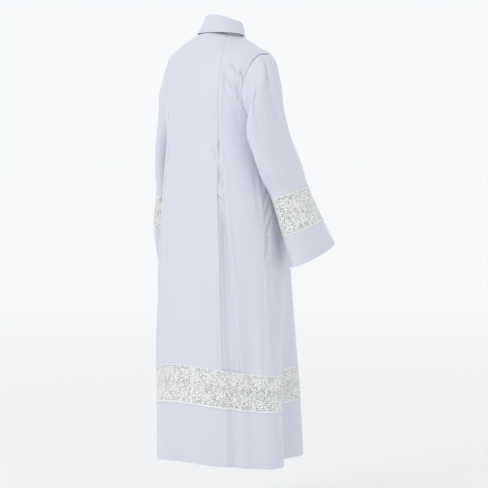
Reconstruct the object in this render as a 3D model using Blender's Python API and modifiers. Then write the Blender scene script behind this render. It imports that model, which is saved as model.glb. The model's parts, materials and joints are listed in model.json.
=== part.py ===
"""Alb robe, worn and empty: a long white robe with lace bands in the skirt and sleeves.

Metres, +Z up. The front of the robe faces -Y and the wearer's right is -X.
The origin is on the neck's middle, level with the shoulders beside the neck.
Every piece of cloth is an open sheet laid on one shared form and given a wall
by Solidify, so neighbouring pieces meet along the same line.

Angles round the body are in degrees: 0 is the centre back, 90 the wearer's
right, 180 the centre front and 270 (or -90) the wearer's left.
"""
import math

import bpy
from mathutils import Vector

# Cloth and seams
CLOTH_WALL = 0.0015
LACE_WALL = 0.0012
COLLAR_WALL = 0.0015
SEAM_GAP = 0.0003
HALF_GAP = SEAM_GAP / 2

# Colours
CLOTH_COLOUR = (0.72, 0.735, 0.81, 1.0)
LACE_COLOUR = (0.76, 0.76, 0.74, 1.0)


def table(columns, rows):
    """Turn a header and rows of numbers into a list of named rows."""
    return [dict(zip(columns, row)) for row in rows]


# The body is a stack of rings, from the neck seam down to the hem.
# The z columns give a ring's height at the back, right, front and left.
STATIONS = table(
    ("z_back", "z_right", "z_front", "z_left", "half_width", "back_y", "front_y"),
    [
        (0.012, -0.003, -0.036, -0.003, 0.068, 0.062, -0.066),   # 0 neck seam
        (-0.004, -0.020, -0.055, -0.013, 0.102, 0.094, -0.088),  # 1 foot of the neck
        (-0.035, -0.045, -0.088, -0.040, 0.151, 0.124, -0.108),  # 2 middle of the shoulder
        (-0.085, -0.068, -0.130, -0.067, 0.198, 0.150, -0.125),  # 3 shoulder tip
        (-0.160, -0.134, -0.195, -0.131, 0.209, 0.168, -0.140),  # 4 shoulder blade
        (-0.245, -0.230, -0.265, -0.230, 0.205, 0.172, -0.150),  # 5 under the blade
        (-0.335, -0.335, -0.335, -0.335, 0.200, 0.172, -0.158),  # 6 armpit
        (-0.490, -0.500, -0.500, -0.500, 0.214, 0.184, -0.170),  # 7 waist
        (-0.710, -0.730, -0.725, -0.735, 0.233, 0.195, -0.200),  # 8 hip
        (-0.927, -0.951, -0.942, -0.963, 0.242, 0.203, -0.222),  # 9 knee
        (-1.065, -1.098, -1.081, -1.121, 0.246, 0.206, -0.234),  # 10 top of the lace band
        (-1.189, -1.216, -1.192, -1.236, 0.249, 0.207, -0.242),  # 11 foot of the lace band
        (-1.372, -1.396, -1.388, -1.436, 0.252, 0.208, -0.255),  # 12 hem
    ])
NECK, SHOULDER_TIP, ARMPIT, WAIST, LACE_TOP, LACE_FOOT, HEM = 0, 3, 6, 7, 10, 11, 12

# The skirt's hanging folds: depth is outwards, full at the hem, nothing at the start station.
SKIRT_FOLDS = table(
    ("angle", "half_span", "depth", "start"),
    [
        (74, 17, 0.016, 6.8),      # ridge beside the right side seam
        (114, 30, -0.075, 6.6),    # deep hollow between side and front
        (149, 22, 0.014, 6.9),     # right front fold
        (180, 16, -0.030, 7.2),    # centre front hollow
        (211, 22, 0.024, 6.9),     # left front fold
        (246, 30, -0.060, 6.6),    # hollow between front and left side
        (287, 17, 0.014, 6.8),     # ridge beside the left side seam
        (8, 15, -0.006, 8.2),      # faint hollow beside the centre back
        (-18, 12, 0.005, 8.2),     # faint ridge left of the centre back
    ])

# Each back pleat is a seam down to its tack, then opens over a recessed underlay.
# The angles are its two folded edges, on the right; the left pleat mirrors it.
PLEAT_EDGES = table(
    ("station", "centre_edge", "side_edge"),
    [
        (0.00, 55.0, 55.0),
        (1.00, 47.0, 47.0),
        (2.00, 39.5, 39.5),
        (3.00, 34.0, 34.0),
        (4.00, 33.2, 33.2),
        (5.00, 33.6, 33.6),
        (6.00, 34.6, 34.6),
        (7.00, 34.0, 34.0),
        (7.12, 33.8, 34.0),
        (7.20, 33.8, 40.2),
        (8.00, 34.8, 44.2),
        (9.00, 36.0, 48.0),
        (10.0, 37.2, 51.4),
        (11.0, 37.8, 52.4),
        (12.0, 38.4, 53.4),
    ])
PLEAT_START = 7.12
PLEAT_DEPTH, LEFT_PLEAT_DEPTH = 0.013, 0.006
UNDERLAY_LAP = 3.0
UNDERLAY_LEAST = 7.0
UNDERLAY_CLEARANCE = 0.0010
TACK_CLEARANCE = 0.0007
PLEAT_OPENING = 0.5    # stations over which a pleat opens below its tack

SIDE_SEAM = 80.0
SHOULDER_SEAM = 90.0
CENTRE_FRONT = 180.0

# The armhole is a loop on the body between the shoulder tip and the armpit.
ARMHOLE_REACH = 28.0
ARMHOLE_FULLNESS = 0.8

# Rows and columns of the cloth grids
# shares of the way from shoulder to armpit, closest where the shoulder turns over
UPPER_SHARES = [0, 0.03, 0.08, 0.15, 0.25, 0.37, 0.5, 0.64, 0.79, 0.92, 1]
LOWER_STATIONS = [6, 6.34, 6.68, 7, 7.12, 7.2, 7.5, 7.75, 8, 8.33, 8.66, 9, 9.33, 9.66, 10]
CENTRE_COLUMNS, SIDE_COLUMNS, PLEAT_COLUMNS, FRONT_COLUMNS = 8, 8, 3, 14
LACE_ROWS, HEM_ROWS = 3, 2
SIDE_NECK_COLUMNS, FRONT_NECK_COLUMNS = 2, 6
SEAM_STEP = 0.04
SIDE_SEAM_PULL = 1.4 * HALF_GAP
ROW_SAG, SAG_STATIONS = 0.45, 1.1

# Sleeve rings from the upper arm to the cuff; "out" is from the middle of the body and
# the two arms hang differently from front to back. A ring leaning 90 degrees
# stands upright against the body, and one leaning 0 hangs level round the arm.
SLEEVE_RINGS = table(
    ("out", "right_y", "left_y", "z", "in_out", "right_reach", "left_reach", "lean", "pitch"),
    [
        (0.2240, 0.0380, 0.0095, -0.2300, 0.1125, 0.0730, 0.0680, 81, 0),     # 1 head of the sleeve
        (0.2350, 0.0540, -0.0035, -0.2850, 0.0855, 0.0835, 0.0715, 72, 2),    # 2 upper arm
        (0.2470, 0.0365, -0.0135, -0.3600, 0.0525, 0.0850, 0.0825, 55, 5),    # 3 above the elbow
        (0.2600, 0.0050, -0.0235, -0.4425, 0.0425, 0.0880, 0.0840, 30, 9),    # 4 elbow
        (0.2655, -0.0280, -0.0310, -0.5100, 0.0450, 0.0755, 0.0785, 12, 13),  # 5 top of the sleeve lace
        (0.2860, -0.0670, -0.0455, -0.6220, 0.0480, 0.0855, 0.0850, 10, 17),  # 6 foot of the sleeve lace
        (0.2990, -0.1020, -0.0830, -0.7120, 0.0505, 0.0995, 0.0965, 10, 21),  # 7 cuff hem
    ])
SLEEVE_LACE_TOP, SLEEVE_LACE_FOOT, CUFF_HEM = 5, 6, 7
SLEEVE_STEPS = [0, 0.3, 0.65, 1, 1.5, 2, 2.5, 3, 3.5, 4, 4.5, 5]
HEAD_ARC, HEAD_STEP = 120, 20
SLEEVE_LEAVING = (-1.0, 0, -0.12)    # direction of the sleeve's cloth as it leaves the armhole
HEAD_PLEAT_START = 0.35
FOLD_RISE, FOLD_FALL = 3, 2

# Pleats and folds of the sleeve: angle round the sleeve (0 outside, 90 back) at both ends.
SLEEVE_FOLDS = table(
    ("start_angle", "end_angle", "half_span", "depth", "start", "end"),
    [
        (2, -40, 17, -0.0075, 0.0, 3.2),    # deep pleat down the outside
        (24, 34, 13, -0.0045, 0.0, 1.6),    # short pleat at the head
        (46, 58, 16, -0.0050, 0.0, 3.6),    # soft trough down the back
        (86, 70, 30, -0.0060, 3.0, 5.6),    # elbow crease at the back
        (-95, -80, 36, -0.0060, 3.2, 5.6),  # elbow crook at the front
    ])

# Collar by angle from the back: the fold's height above the neck seam, how far the fall
# flares out and how high its free edge lies
COLLAR = table(
    ("angle", "height", "flare", "edge_z"),
    [
        (0, 0.0500, 0.022, 0.006),
        (45, 0.0480, 0.025, 0.005),
        (75, 0.0450, 0.020, 0.002),
        (96, 0.0420, 0.013, -0.002),
        (126, 0.0365, 0.006, -0.010),
        (180, 0.0290, 0.004, -0.018),
    ])
FALL_END = 124.0
COLLAR_LEAN = 0.006
ROLL_PROFILE = [(-0.0013, 0.0021), (0.0008, 0.0030), (0.0030, 0.0024), (0.0044, 0.0006)]
FALL_ROWS = 3
STAND_ROWS = 2
COLLAR_COLUMNS, FALL_COLUMNS = 36, 26
FLARE_CURVE = 1.25
FALL_LEAST_DROP = 0.006
FRONT_OPENING = 0.0008
STAND_CLEARANCE = 0.0009

# Lace: one cell in two is pierced, each repeat with its own places and sizes
LACE_HOLES = table(
    ("column", "row", "across", "down", "width", "height"),
    [
        (0, 0, 0.42, 0.55, 0.40, 0.26),
        (0, 2, 0.55, 0.45, 0.36, 0.22),
        (1, 1, 0.50, 0.50, 0.44, 0.28),
        (2, 0, 0.58, 0.48, 0.34, 0.22),
        (2, 2, 0.45, 0.55, 0.42, 0.24),
        (3, 1, 0.52, 0.46, 0.38, 0.24),
    ])
LACE_REPEAT = 4


def catmull(before, start, end, after, share):
    """Smooth curve through start and end."""
    slope_a = (end - before) / 2
    slope_b = (after - start) / 2
    return hermite(start, slope_a, end, slope_b, share)


def hermite(start, slope_a, end, slope_b, share):
    """Cubic from start to end with the given slopes."""
    squared, cubed = share ** 2, share ** 3
    return (start * (2 * cubed - 3 * squared + 1) + slope_a * (cubed - 2 * squared + share)
            + end * (3 * squared - 2 * cubed) + slope_b * (cubed - squared))


def station_value(column, station):
    """Read a column of the body table between its rows."""
    last = len(STATIONS) - 1
    row = min(int(station), last - 1)
    picks = [STATIONS[min(max(row + step, 0), last)][column] for step in (-1, 0, 1, 2)]
    return catmull(*picks, station - row)


def read_line(rows, key, column, place):
    """Read a column in straight lines between rows sorted by key."""
    place = min(max(place, rows[0][key]), rows[-1][key])
    for low, high in zip(rows, rows[1:]):
        if place <= high[key]:
            share = (place - low[key]) / (high[key] - low[key])
            return low[column] + (high[column] - low[column]) * share
    return rows[-1][column]


def ease(share):
    """Smooth step from 0 to 1."""
    share = min(max(share, 0.0), 1.0)
    return share * share * (3 - 2 * share)


def bump(offset, half_span):
    """Soft bell that is 1 in the middle and 0 at half_span."""
    if abs(offset) >= half_span:
        return 0.0
    return math.cos(math.pi / 2 * offset / half_span) ** 2


def turn_between(angle, other):
    """Signed difference of two angles in degrees."""
    return (angle - other + 180) % 360 - 180


def pleat_edges(station):
    """Angles of a pleat's folded edges on the wearer's right."""
    return (read_line(PLEAT_EDGES, "station", "centre_edge", station),
            read_line(PLEAT_EDGES, "station", "side_edge", station))


def pleat_recess(angle, station):
    """How far the cloth between a pleat's edges lies back."""
    centre_edge, side_edge = pleat_edges(station)
    half_span = (side_edge - centre_edge) / 2
    if half_span < 1.0:
        return 0.0
    middle = (side_edge + centre_edge) / 2
    offset = abs(turn_between(angle, 0)) - middle
    depth = PLEAT_DEPTH if turn_between(angle, 0) > 0 else LEFT_PLEAT_DEPTH
    return depth * bump(offset, half_span) * ease((station - PLEAT_START) / PLEAT_OPENING)


def ring_height(angle, station):
    """Height of a body ring at an angle."""
    turn = math.radians(angle)
    end = "z_back" if math.cos(turn) >= 0 else "z_front"
    side = "z_right" if math.sin(turn) >= 0 else "z_left"
    share = math.cos(turn) ** 2
    return station_value(end, station) * share + station_value(side, station) * (1 - share)


def body_point(angle, station, inset=0.0):
    """Point of the robe's outer face; inset moves it straight in."""
    turn = math.radians(angle)
    half_width = station_value("half_width", station)
    back_y = station_value("back_y", station)
    front_y = station_value("front_y", station)
    half_depth = (back_y - front_y) / 2
    middle_y = (back_y + front_y) / 2
    outward = Vector((-math.sin(turn) / half_width, math.cos(turn) / half_depth, 0)).normalized()
    swell = -pleat_recess(angle, station) - inset
    for fold in SKIRT_FOLDS:
        growth = ease((station - fold["start"]) / (HEM - fold["start"]))
        swell += fold["depth"] * growth * bump(turn_between(angle, fold["angle"]), fold["half_span"])
    foot = Vector((-math.sin(turn) * half_width, middle_y + math.cos(turn) * half_depth,
                   ring_height(angle, station)))
    return foot + outward * swell


def armhole(phi):
    """Angle and station on the armhole: phi 0 at the shoulder tip, 90 back, 180 armpit."""
    turn = math.radians(phi)
    drop = (1 - math.cos(turn)) / 2
    station = SHOULDER_TIP + (ARMPIT - SHOULDER_TIP) * drop
    middle = SHOULDER_SEAM + (SIDE_SEAM - SHOULDER_SEAM) * drop
    if drop <= 0.5:
        reach = abs(math.sin(turn)) ** ARMHOLE_FULLNESS
    else:
        reach = 1 - (2 * drop - 1) ** 2
    return middle - math.copysign(ARMHOLE_REACH * reach, math.sin(turn)), station


def nudge(place, target, distance):
    """Move a place on the body form towards another by a distance in metres."""
    here = body_point(*place)
    there = body_point(*target)
    length = (there - here).length
    if length < 1e-6:
        return place
    share = distance / length
    return (place[0] + (target[0] - place[0]) * share, place[1] + (target[1] - place[1]) * share)


def shift_angle(angle, station, distance):
    """Turn an angle by a distance along the ring."""
    step = 0.5
    span = (body_point(angle + step, station) - body_point(angle, station)).length
    return angle + distance * step / span


def spread(start, end, count):
    """Even steps from start to end."""
    return [start + (end - start) * index / count for index in range(count + 1)]


def seam_spread(start, end, count):
    """Steps from start to end with a narrow last one, so that both sides of a seam turn alike."""
    return spread(start, end + (start - end) * SEAM_STEP, count - 1) + [end]


def coons(top, bottom, left, right, across, down):
    """Blend four edges given as functions, each returning (angle, station).

    The sides rule; the bends of the top and bottom edges fade away from them.
    """
    result = []
    for axis in (0, 1):
        value = (1 - across) * left(down)[axis] + across * right(down)[axis]
        for edge, pull in ((top, (1 - down) ** 2), (bottom, down ** 2)):
            straight = (1 - across) * edge(0)[axis] + across * edge(1)[axis]
            value += pull * (edge(across)[axis] - straight)
        result.append(value)
    return tuple(result)


def row_sag(across, station):
    """How far a row hangs between a panel's edges, so that it leaves the armpit at a slant."""
    return ROW_SAG * math.sin(math.pi * across) * max(0.0, 1 - (station - ARMPIT) / SAG_STATIONS)


def upper_places(inner_edge, columns, neck_columns, back):
    """Places of a panel above the armpit: inner_edge(station) is its edge away from the arm."""
    sign = 1 if back else -1

    def top(across):
        neck_share = neck_columns / columns
        if across <= neck_share:
            start = inner_edge(NECK)
            return start + (SHOULDER_SEAM - start) * across / neck_share, NECK
        return SHOULDER_SEAM, SHOULDER_TIP * (across - neck_share) / (1 - neck_share)

    def bottom(across):
        start = inner_edge(ARMPIT)
        return start + (SIDE_SEAM - start) * across, ARMPIT + row_sag(across, ARMPIT)

    def left(down):
        return inner_edge(ARMPIT * down), ARMPIT * down

    def right(down):
        return armhole(sign * 180 * down)

    rows = []
    for down in UPPER_SHARES:
        shares = [even + (narrow - even) * down
                  for even, narrow in zip(spread(0, 1, columns), seam_spread(0, 1, columns))]
        rows.append([coons(top, bottom, left, right, across, down) for across in shares])
    return rows


def lower_row(inner_edge, station, columns):
    """A row of a panel below the armpit, from its inner edge to the side seam."""
    return [(inner_edge + (SIDE_SEAM - inner_edge) * across, station + row_sag(across, station))
            for across in seam_spread(0, 1, columns)]


def trim(rows, sign):
    """Draw a panel's edges back by half a seam: first and last column, top and bottom row."""
    trimmed = [list(row) for row in rows]
    for number, row in enumerate(rows):
        angle, station = row[0]
        trimmed[number][0] = (shift_angle(angle, station, sign * HALF_GAP), station)
        trimmed[number][-1] = nudge(row[-1], row[-2], SIDE_SEAM_PULL)
    for column in range(len(rows[0])):
        trimmed[0][column] = nudge(trimmed[0][column], trimmed[1][column], HALF_GAP)
        trimmed[-1][column] = nudge(trimmed[-1][column], trimmed[-2][column], HALF_GAP)
    return trimmed


def mirrored(rows):
    """Places of the same panel on the wearer's left."""
    return [[(-angle, station) for angle, station in row] for row in rows]


def side_back_places():
    """The right side back: pleat edge, neck and shoulder, armhole and side seam."""
    rows = upper_places(lambda station: pleat_edges(station)[1], SIDE_COLUMNS,
                        SIDE_NECK_COLUMNS, True)
    for station in LOWER_STATIONS[1:]:
        rows.append(lower_row(pleat_edges(station)[1], station, SIDE_COLUMNS))
    return trim(rows, 1)


def front_places():
    """The right front: centre front, neck and shoulder, armhole and side seam."""
    rows = upper_places(lambda station: CENTRE_FRONT, FRONT_COLUMNS, FRONT_NECK_COLUMNS, False)
    for station in LOWER_STATIONS[1:]:
        rows.append(lower_row(CENTRE_FRONT, station, FRONT_COLUMNS))
    return trim(rows, -1)


def centre_back_places():
    """The centre back, between the two pleats."""
    stations = [ARMPIT * down for down in UPPER_SHARES] + LOWER_STATIONS[1:]
    rows = []
    for station in stations:
        edge = pleat_edges(station)[0]
        rows.append([(angle, station) for angle in spread(-edge, edge, CENTRE_COLUMNS)])
    return trim(rows, 1)


def band_angles(station, back):
    """Columns of the lace and hem bands, on the same lines as the panels above."""
    if not back:
        right = seam_spread(CENTRE_FRONT, SIDE_SEAM, FRONT_COLUMNS)[::-1]
        return right + [360 - angle for angle in reversed(right[:-1])]
    centre_edge, side_edge = pleat_edges(station)
    half = (spread(0, centre_edge, CENTRE_COLUMNS // 2)
            + spread(centre_edge, side_edge, PLEAT_COLUMNS)[1:]
            + seam_spread(side_edge, SIDE_SEAM, SIDE_COLUMNS)[1:])
    return [-angle for angle in reversed(half[1:])] + half


def band_places(top, bottom, rows, back):
    """A band of the skirt from one side seam to the other."""
    places = []
    for station in spread(top, bottom, rows):
        places.append([(angle, station) for angle in band_angles(station, back)])
    return trim(places, 1)


def grid_faces(rows, columns, wrap, flip, pierced):
    """Faces of a grid of points, with the cells that are pierced left for pierce_cell."""
    faces = []
    for row in range(rows - 1):
        for column in range(columns if wrap else columns - 1):
            if (column, row) in pierced:
                continue
            following = (column + 1) % columns
            face = [row * columns + column, (row + 1) * columns + column,
                    (row + 1) * columns + following, row * columns + following]
            faces.append(face[::-1] if flip else face)
    return faces


def split_face(points, face):
    """Two triangles of a four-sided face, cut along its shorter diagonal."""
    a, b, c, d = face
    if (points[a] - points[c]).length <= (points[b] - points[d]).length:
        return [(a, b, c), (a, c, d)]
    return [(a, b, d), (b, c, d)]


def pierce_cell(points, faces, corners, hole, flip):
    """Frame one cell with four faces round an open hole."""
    top_left, foot_left, foot_right, top_right = corners
    first = len(points)
    across = (hole["across"] - hole["width"] / 2, hole["across"] + hole["width"] / 2)
    down = (hole["down"] - hole["height"] / 2, hole["down"] + hole["height"] / 2)
    for share_across, share_down in ((across[0], down[0]), (across[0], down[1]),
                                     (across[1], down[1]), (across[1], down[0])):
        upper = points[top_left].lerp(points[top_right], share_across)
        lower = points[foot_left].lerp(points[foot_right], share_across)
        points.append(upper.lerp(lower, share_down))
    inner = [first, first + 1, first + 2, first + 3]
    for index in range(4):
        following = (index + 1) % 4
        face = [corners[index], corners[following], inner[following], inner[index]]
        faces.append(face[::-1] if flip else face)


def build_sheet(name, grid, material, wall, wrap=False, flip=False, holes=()):
    """Make a node from rows of points: an open sheet with its wall put on inside."""
    columns = len(grid[0])
    points = [point for row in grid for point in row]
    pierced = {(hole["cell_column"], hole["cell_row"]): hole for hole in holes}
    faces = grid_faces(len(grid), columns, wrap, flip, pierced)
    for (column, row), hole in pierced.items():
        following = (column + 1) % columns
        corners = (row * columns + column, (row + 1) * columns + column,
                   (row + 1) * columns + following, row * columns + following)
        pierce_cell(points, faces, corners, hole, flip)
    mesh = bpy.data.meshes.new(name)
    triangles = [triangle for face in faces for triangle in split_face(points, face)]
    mesh.from_pydata([tuple(point) for point in points], [], triangles)
    mesh.validate()
    mesh.shade_smooth()
    mesh.materials.append(material)
    node = bpy.data.objects.new(name, mesh)
    bpy.data.collections["alb_robe"].objects.link(node)
    wall_modifier = node.modifiers.new("cloth_wall", "SOLIDIFY")
    wall_modifier.thickness = wall
    wall_modifier.offset = -1
    wall_modifier.use_even_offset = False
    wall_modifier.use_quality_normals = True
    return node


def body_grid(places):
    """Points of the body form at each place."""
    return [[body_point(angle, station) for angle, station in row] for row in places]


def lace_cells(columns, first_column=0):
    """Holes of a lace band, one repeat after another."""
    cells = []
    for column in range(columns):
        for hole in LACE_HOLES:
            if hole["column"] == (column + first_column) % LACE_REPEAT:
                cells.append(dict(hole, cell_column=column, cell_row=hole["row"]))
    return cells


def underlay_grid(side):
    """The strip behind a pleat, lapped under both folded edges."""
    rows = []
    for station in [station for station in LOWER_STATIONS if station >= WAIST]:
        centre_edge, side_edge = pleat_edges(station)
        side_edge = max(side_edge, centre_edge + UNDERLAY_LEAST)
        angles = ([centre_edge - UNDERLAY_LAP]
                  + spread(centre_edge, side_edge, PLEAT_COLUMNS) + [side_edge + UNDERLAY_LAP])
        rows.append([(side * angle, station) for angle in angles])
    for column, place in enumerate(rows[-1]):
        rows[-1][column] = nudge(place, rows[-2][column], HALF_GAP)
    grid = []
    for row in rows:
        opening = ease((row[0][1] - PLEAT_START) / PLEAT_OPENING)
        inset = CLOTH_WALL + UNDERLAY_CLEARANCE + TACK_CLEARANCE * (1 - opening)
        grid.append([body_point(angle, station, inset) for angle, station in row])
    return grid


def sleeve_ring_point(ring, phi, side):
    """Point of a sleeve ring, drawn as if on the right; side is 1 right and -1 left."""
    row = SLEEVE_RINGS[ring - 1]
    lean, pitch = math.radians(row["lean"]), math.radians(row["pitch"])
    outward = Vector((-math.cos(lean), 0, math.sin(lean)))
    back = Vector((0, math.cos(pitch), -math.sin(pitch)))
    turn = math.radians(phi)
    reach = row["right_reach"] if side > 0 else row["left_reach"]
    return (ring_centre(ring, side) + outward * row["in_out"] * math.cos(turn)
            + back * reach * math.sin(turn))


def ring_centre(ring, side):
    """Middle of a sleeve ring, drawn as if on the right."""
    row = SLEEVE_RINGS[ring - 1]
    return Vector((-row["out"], row["right_y"] if side > 0 else row["left_y"], row["z"]))


def armhole_corner(phi):
    """A corner of the right armhole's edge, drawn in by a seam's gap."""
    point = body_point(*armhole(phi))
    centre = (body_point(*armhole(0)) + body_point(*armhole(180))) / 2
    inward = (centre - point).normalized()
    return point + inward * (SEAM_GAP + HALF_GAP) + Vector((-SEAM_GAP, 0, 0))


def armhole_point(phi):
    """Where the sleeve's edge meets the right armhole, on the straight stretches of its edge."""
    phi = turn_between(phi, 0)
    side = math.copysign(1, phi)
    corners = [180 * down for down in UPPER_SHARES]
    for low, high in zip(corners, corners[1:]):
        if abs(phi) <= high:
            share = (abs(phi) - low) / (high - low)
            return armhole_corner(side * low).lerp(armhole_corner(side * high), share)
    return armhole_corner(180)


def sleeve_point(step, phi, side):
    """Point of the sleeve's outer face; step 0 is the armhole and whole steps are the rings."""
    ring = min(int(step), CUFF_HEM - 1)
    share = step - ring
    picks = [armhole_point(phi) if number <= 0 else sleeve_ring_point(min(number, CUFF_HEM), phi, side)
             for number in (ring - 1, ring, ring + 1, ring + 2)]
    if ring == 0:
        reach = (picks[2] - picks[1]).length
        leaving = Vector(SLEEVE_LEAVING) * reach
        point = hermite(picks[1], leaving, picks[2], (picks[3] - picks[1]) / 2, share)
    else:
        point = catmull(*picks, share)
    depth = 0.0
    for fold in SLEEVE_FOLDS:
        along = (step - fold["start"]) / (fold["end"] - fold["start"])
        if 0 <= along <= 1:
            angle = fold["start_angle"] + (fold["end_angle"] - fold["start_angle"]) * along
            rise = ease(HEAD_PLEAT_START + step) if fold["start"] == 0 else ease(along * FOLD_RISE)
            rise *= ease((1 - along) * FOLD_FALL)
            depth += fold["depth"] * rise * bump(turn_between(phi, angle), fold["half_span"])
    point += (point - sleeve_middle(step, side)).normalized() * depth
    return Vector((point.x * side, point.y, point.z))


def sleeve_middle(step, side):
    """Middle of the sleeve at a step, drawn as if on the right."""
    ring = min(max(int(step), 1), CUFF_HEM - 1)
    share = min(max(step - ring, 0.0), 1.0)
    return ring_centre(ring, side).lerp(ring_centre(ring + 1, side), share)


def sleeve_angles():
    """Columns round the sleeve: the armhole's corners, with one more between each at the head."""
    half = []
    corners = [180 * down for down in UPPER_SHARES]
    for low, high in zip(corners, corners[1:]):
        half.append(low)
        if high - low > HEAD_STEP and high < HEAD_ARC:
            half.append((low + high) / 2)
    back = half + [180.0]
    return [-angle for angle in reversed(back[1:-1])] + back


def sleeve_grid(steps, angles, side):
    """Rows of sleeve points, drawn back by half a seam at both ends but the free ones."""
    grid = [[sleeve_point(step, phi, side) for phi in angles] for step in steps]
    for column in range(len(angles)):
        if steps[0] > 0:
            grid[0][column] += (grid[1][column] - grid[0][column]).normalized() * HALF_GAP
        if steps[-1] < CUFF_HEM:
            grid[-1][column] += (grid[-2][column] - grid[-1][column]).normalized() * HALF_GAP
    return grid


def collar_value(column, angle):
    """Read the collar table at an angle on either side."""
    return read_line(COLLAR, "angle", column, abs(turn_between(angle, 0)))


def collar_frame(angle):
    """Foot of the stand on the neck seam, its outward direction and its height."""
    foot = body_point(angle, NECK)
    outward = Vector((foot.x, foot.y, 0)).normalized()
    return foot, outward, collar_value("height", angle)


def stand_point(angle, share):
    """Outer face of the collar's stand."""
    foot, outward, height = collar_frame(angle)
    return foot + Vector((0, 0, STAND_CLEARANCE + height * share)) - outward * COLLAR_LEAN * share


def fall_point(angle, row):
    """Outer face of the collar's fall: a small roll over the stand, then down and out."""
    top = stand_point(angle, 1)
    _, outward, _ = collar_frame(angle)
    if row < len(ROLL_PROFILE):
        out, up = ROLL_PROFILE[row]
        return top + outward * out + Vector((0, 0, up))
    out, up = ROLL_PROFILE[-1]
    share = (row - len(ROLL_PROFILE) + 1) / FALL_ROWS
    drop = max(top.z - collar_value("edge_z", angle), FALL_LEAST_DROP)
    flare = collar_value("flare", angle) * share ** FLARE_CURVE
    return top + outward * (out + flare) + Vector((0, 0, up - (drop + up) * share))


def make_material(name, colour, roughness):
    """A plain cloth material."""
    material = bpy.data.materials.new(name)
    material.use_nodes = True
    shader = material.node_tree.nodes["Principled BSDF"]
    shader.inputs["Base Color"].default_value = colour
    shader.inputs["Roughness"].default_value = roughness
    shader.inputs["Metallic"].default_value = 0.0
    material.diffuse_color = colour
    return material


def build_body(cloth):
    """Centre back, side backs, fronts and pleat underlays."""
    side_back, front = side_back_places(), front_places()
    build_sheet("centre_back", body_grid(centre_back_places()), cloth, CLOTH_WALL)
    build_sheet("side_back_right", body_grid(side_back), cloth, CLOTH_WALL)
    build_sheet("side_back_left", body_grid(mirrored(side_back)), cloth, CLOTH_WALL, flip=True)
    build_sheet("front_right", body_grid(front), cloth, CLOTH_WALL, flip=True)
    build_sheet("front_left", body_grid(mirrored(front)), cloth, CLOTH_WALL)
    build_sheet("pleat_underlay_right", underlay_grid(1), cloth, CLOTH_WALL)
    build_sheet("pleat_underlay_left", underlay_grid(-1), cloth, CLOTH_WALL, flip=True)


def build_bands(cloth, lace):
    """Lace insert and hem band of the skirt, each in a back and a front length."""
    for name, back in (("back", True), ("front", False)):
        insert = band_places(LACE_TOP, LACE_FOOT, LACE_ROWS, back)
        build_sheet("skirt_lace_" + name, body_grid(insert), lace, LACE_WALL,
                    holes=lace_cells(len(insert[0]) - 1))
        hem = band_places(LACE_FOOT, HEM, HEM_ROWS, back)
        build_sheet("hem_band_" + name, body_grid(hem), cloth, CLOTH_WALL)


def build_sleeve(side, name, cloth, lace):
    """Sleeve, its lace insert in two halves, and the cuff band."""
    angles = sleeve_angles()
    flip = side > 0
    build_sheet("sleeve_" + name, sleeve_grid(SLEEVE_STEPS, angles, side), cloth, CLOTH_WALL,
                wrap=True, flip=flip)
    steps = spread(SLEEVE_LACE_TOP, SLEEVE_LACE_FOOT, LACE_ROWS)
    grid = sleeve_grid(steps, angles, side)
    outside, last = angles.index(0), len(angles) - 1
    halves = (("back", range(outside, last + 1)), ("front", [last] + list(range(outside + 1))))
    for part, columns in halves:
        strip = [[row[column].copy() for column in columns] for row in grid]
        for row in strip:
            row[0] += (row[1] - row[0]).normalized() * SEAM_GAP
            row[-1] += (row[-2] - row[-1]).normalized() * SEAM_GAP
        build_sheet("sleeve_lace_" + name + "_" + part, strip, lace, LACE_WALL, flip=flip,
                    holes=lace_cells(len(columns) - 1))
    steps = spread(SLEEVE_LACE_FOOT, CUFF_HEM, HEM_ROWS)
    build_sheet("cuff_" + name, sleeve_grid(steps, angles, side), cloth, CLOTH_WALL,
                wrap=True, flip=flip)


def build_collar(cloth):
    """Stand, open at the centre front, and the fall turned down over it."""
    edge = CENTRE_FRONT - math.degrees(FRONT_OPENING / 2 / STATIONS[NECK]["half_width"])
    angles = spread(-edge, edge, COLLAR_COLUMNS)
    stand = [[stand_point(angle, share) for angle in angles] for share in spread(1, 0, STAND_ROWS)]
    build_sheet("collar_stand", stand, cloth, COLLAR_WALL)
    angles = spread(-FALL_END, FALL_END, FALL_COLUMNS)
    rows = len(ROLL_PROFILE) + FALL_ROWS
    fall = [[fall_point(angle, row) for angle in angles] for row in range(rows)]
    build_sheet("collar_fall", fall, cloth, COLLAR_WALL)


def main():
    for old in list(bpy.data.objects):
        bpy.data.objects.remove(old, do_unlink=True)
    collection = bpy.data.collections.new("alb_robe")
    bpy.context.scene.collection.children.link(collection)
    cloth = make_material("robe_cloth", CLOTH_COLOUR, 0.45)
    lace = make_material("lace", LACE_COLOUR, 0.7)
    build_body(cloth)
    build_bands(cloth, lace)
    for side, name in ((1, "right"), (-1, "left")):
        build_sleeve(side, name, cloth, lace)
    build_collar(cloth)


main()
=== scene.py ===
# %% [markdown]
# # A long white alb, worn and empty
#
# The robe hangs as on a wearer who isn't there: a turned-down collar, bell sleeves, inverted
# pleats at the back, and a band of lace in the skirt and in each sleeve. Metres, +Z up. The
# front faces -Y, and the origin is the middle of the neck.
#
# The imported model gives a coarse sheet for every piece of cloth. Here each one is laid again
# on the same form with finer folds, seams that roll in, real lace and stitches.

# %% The frame
import json
import math

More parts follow.
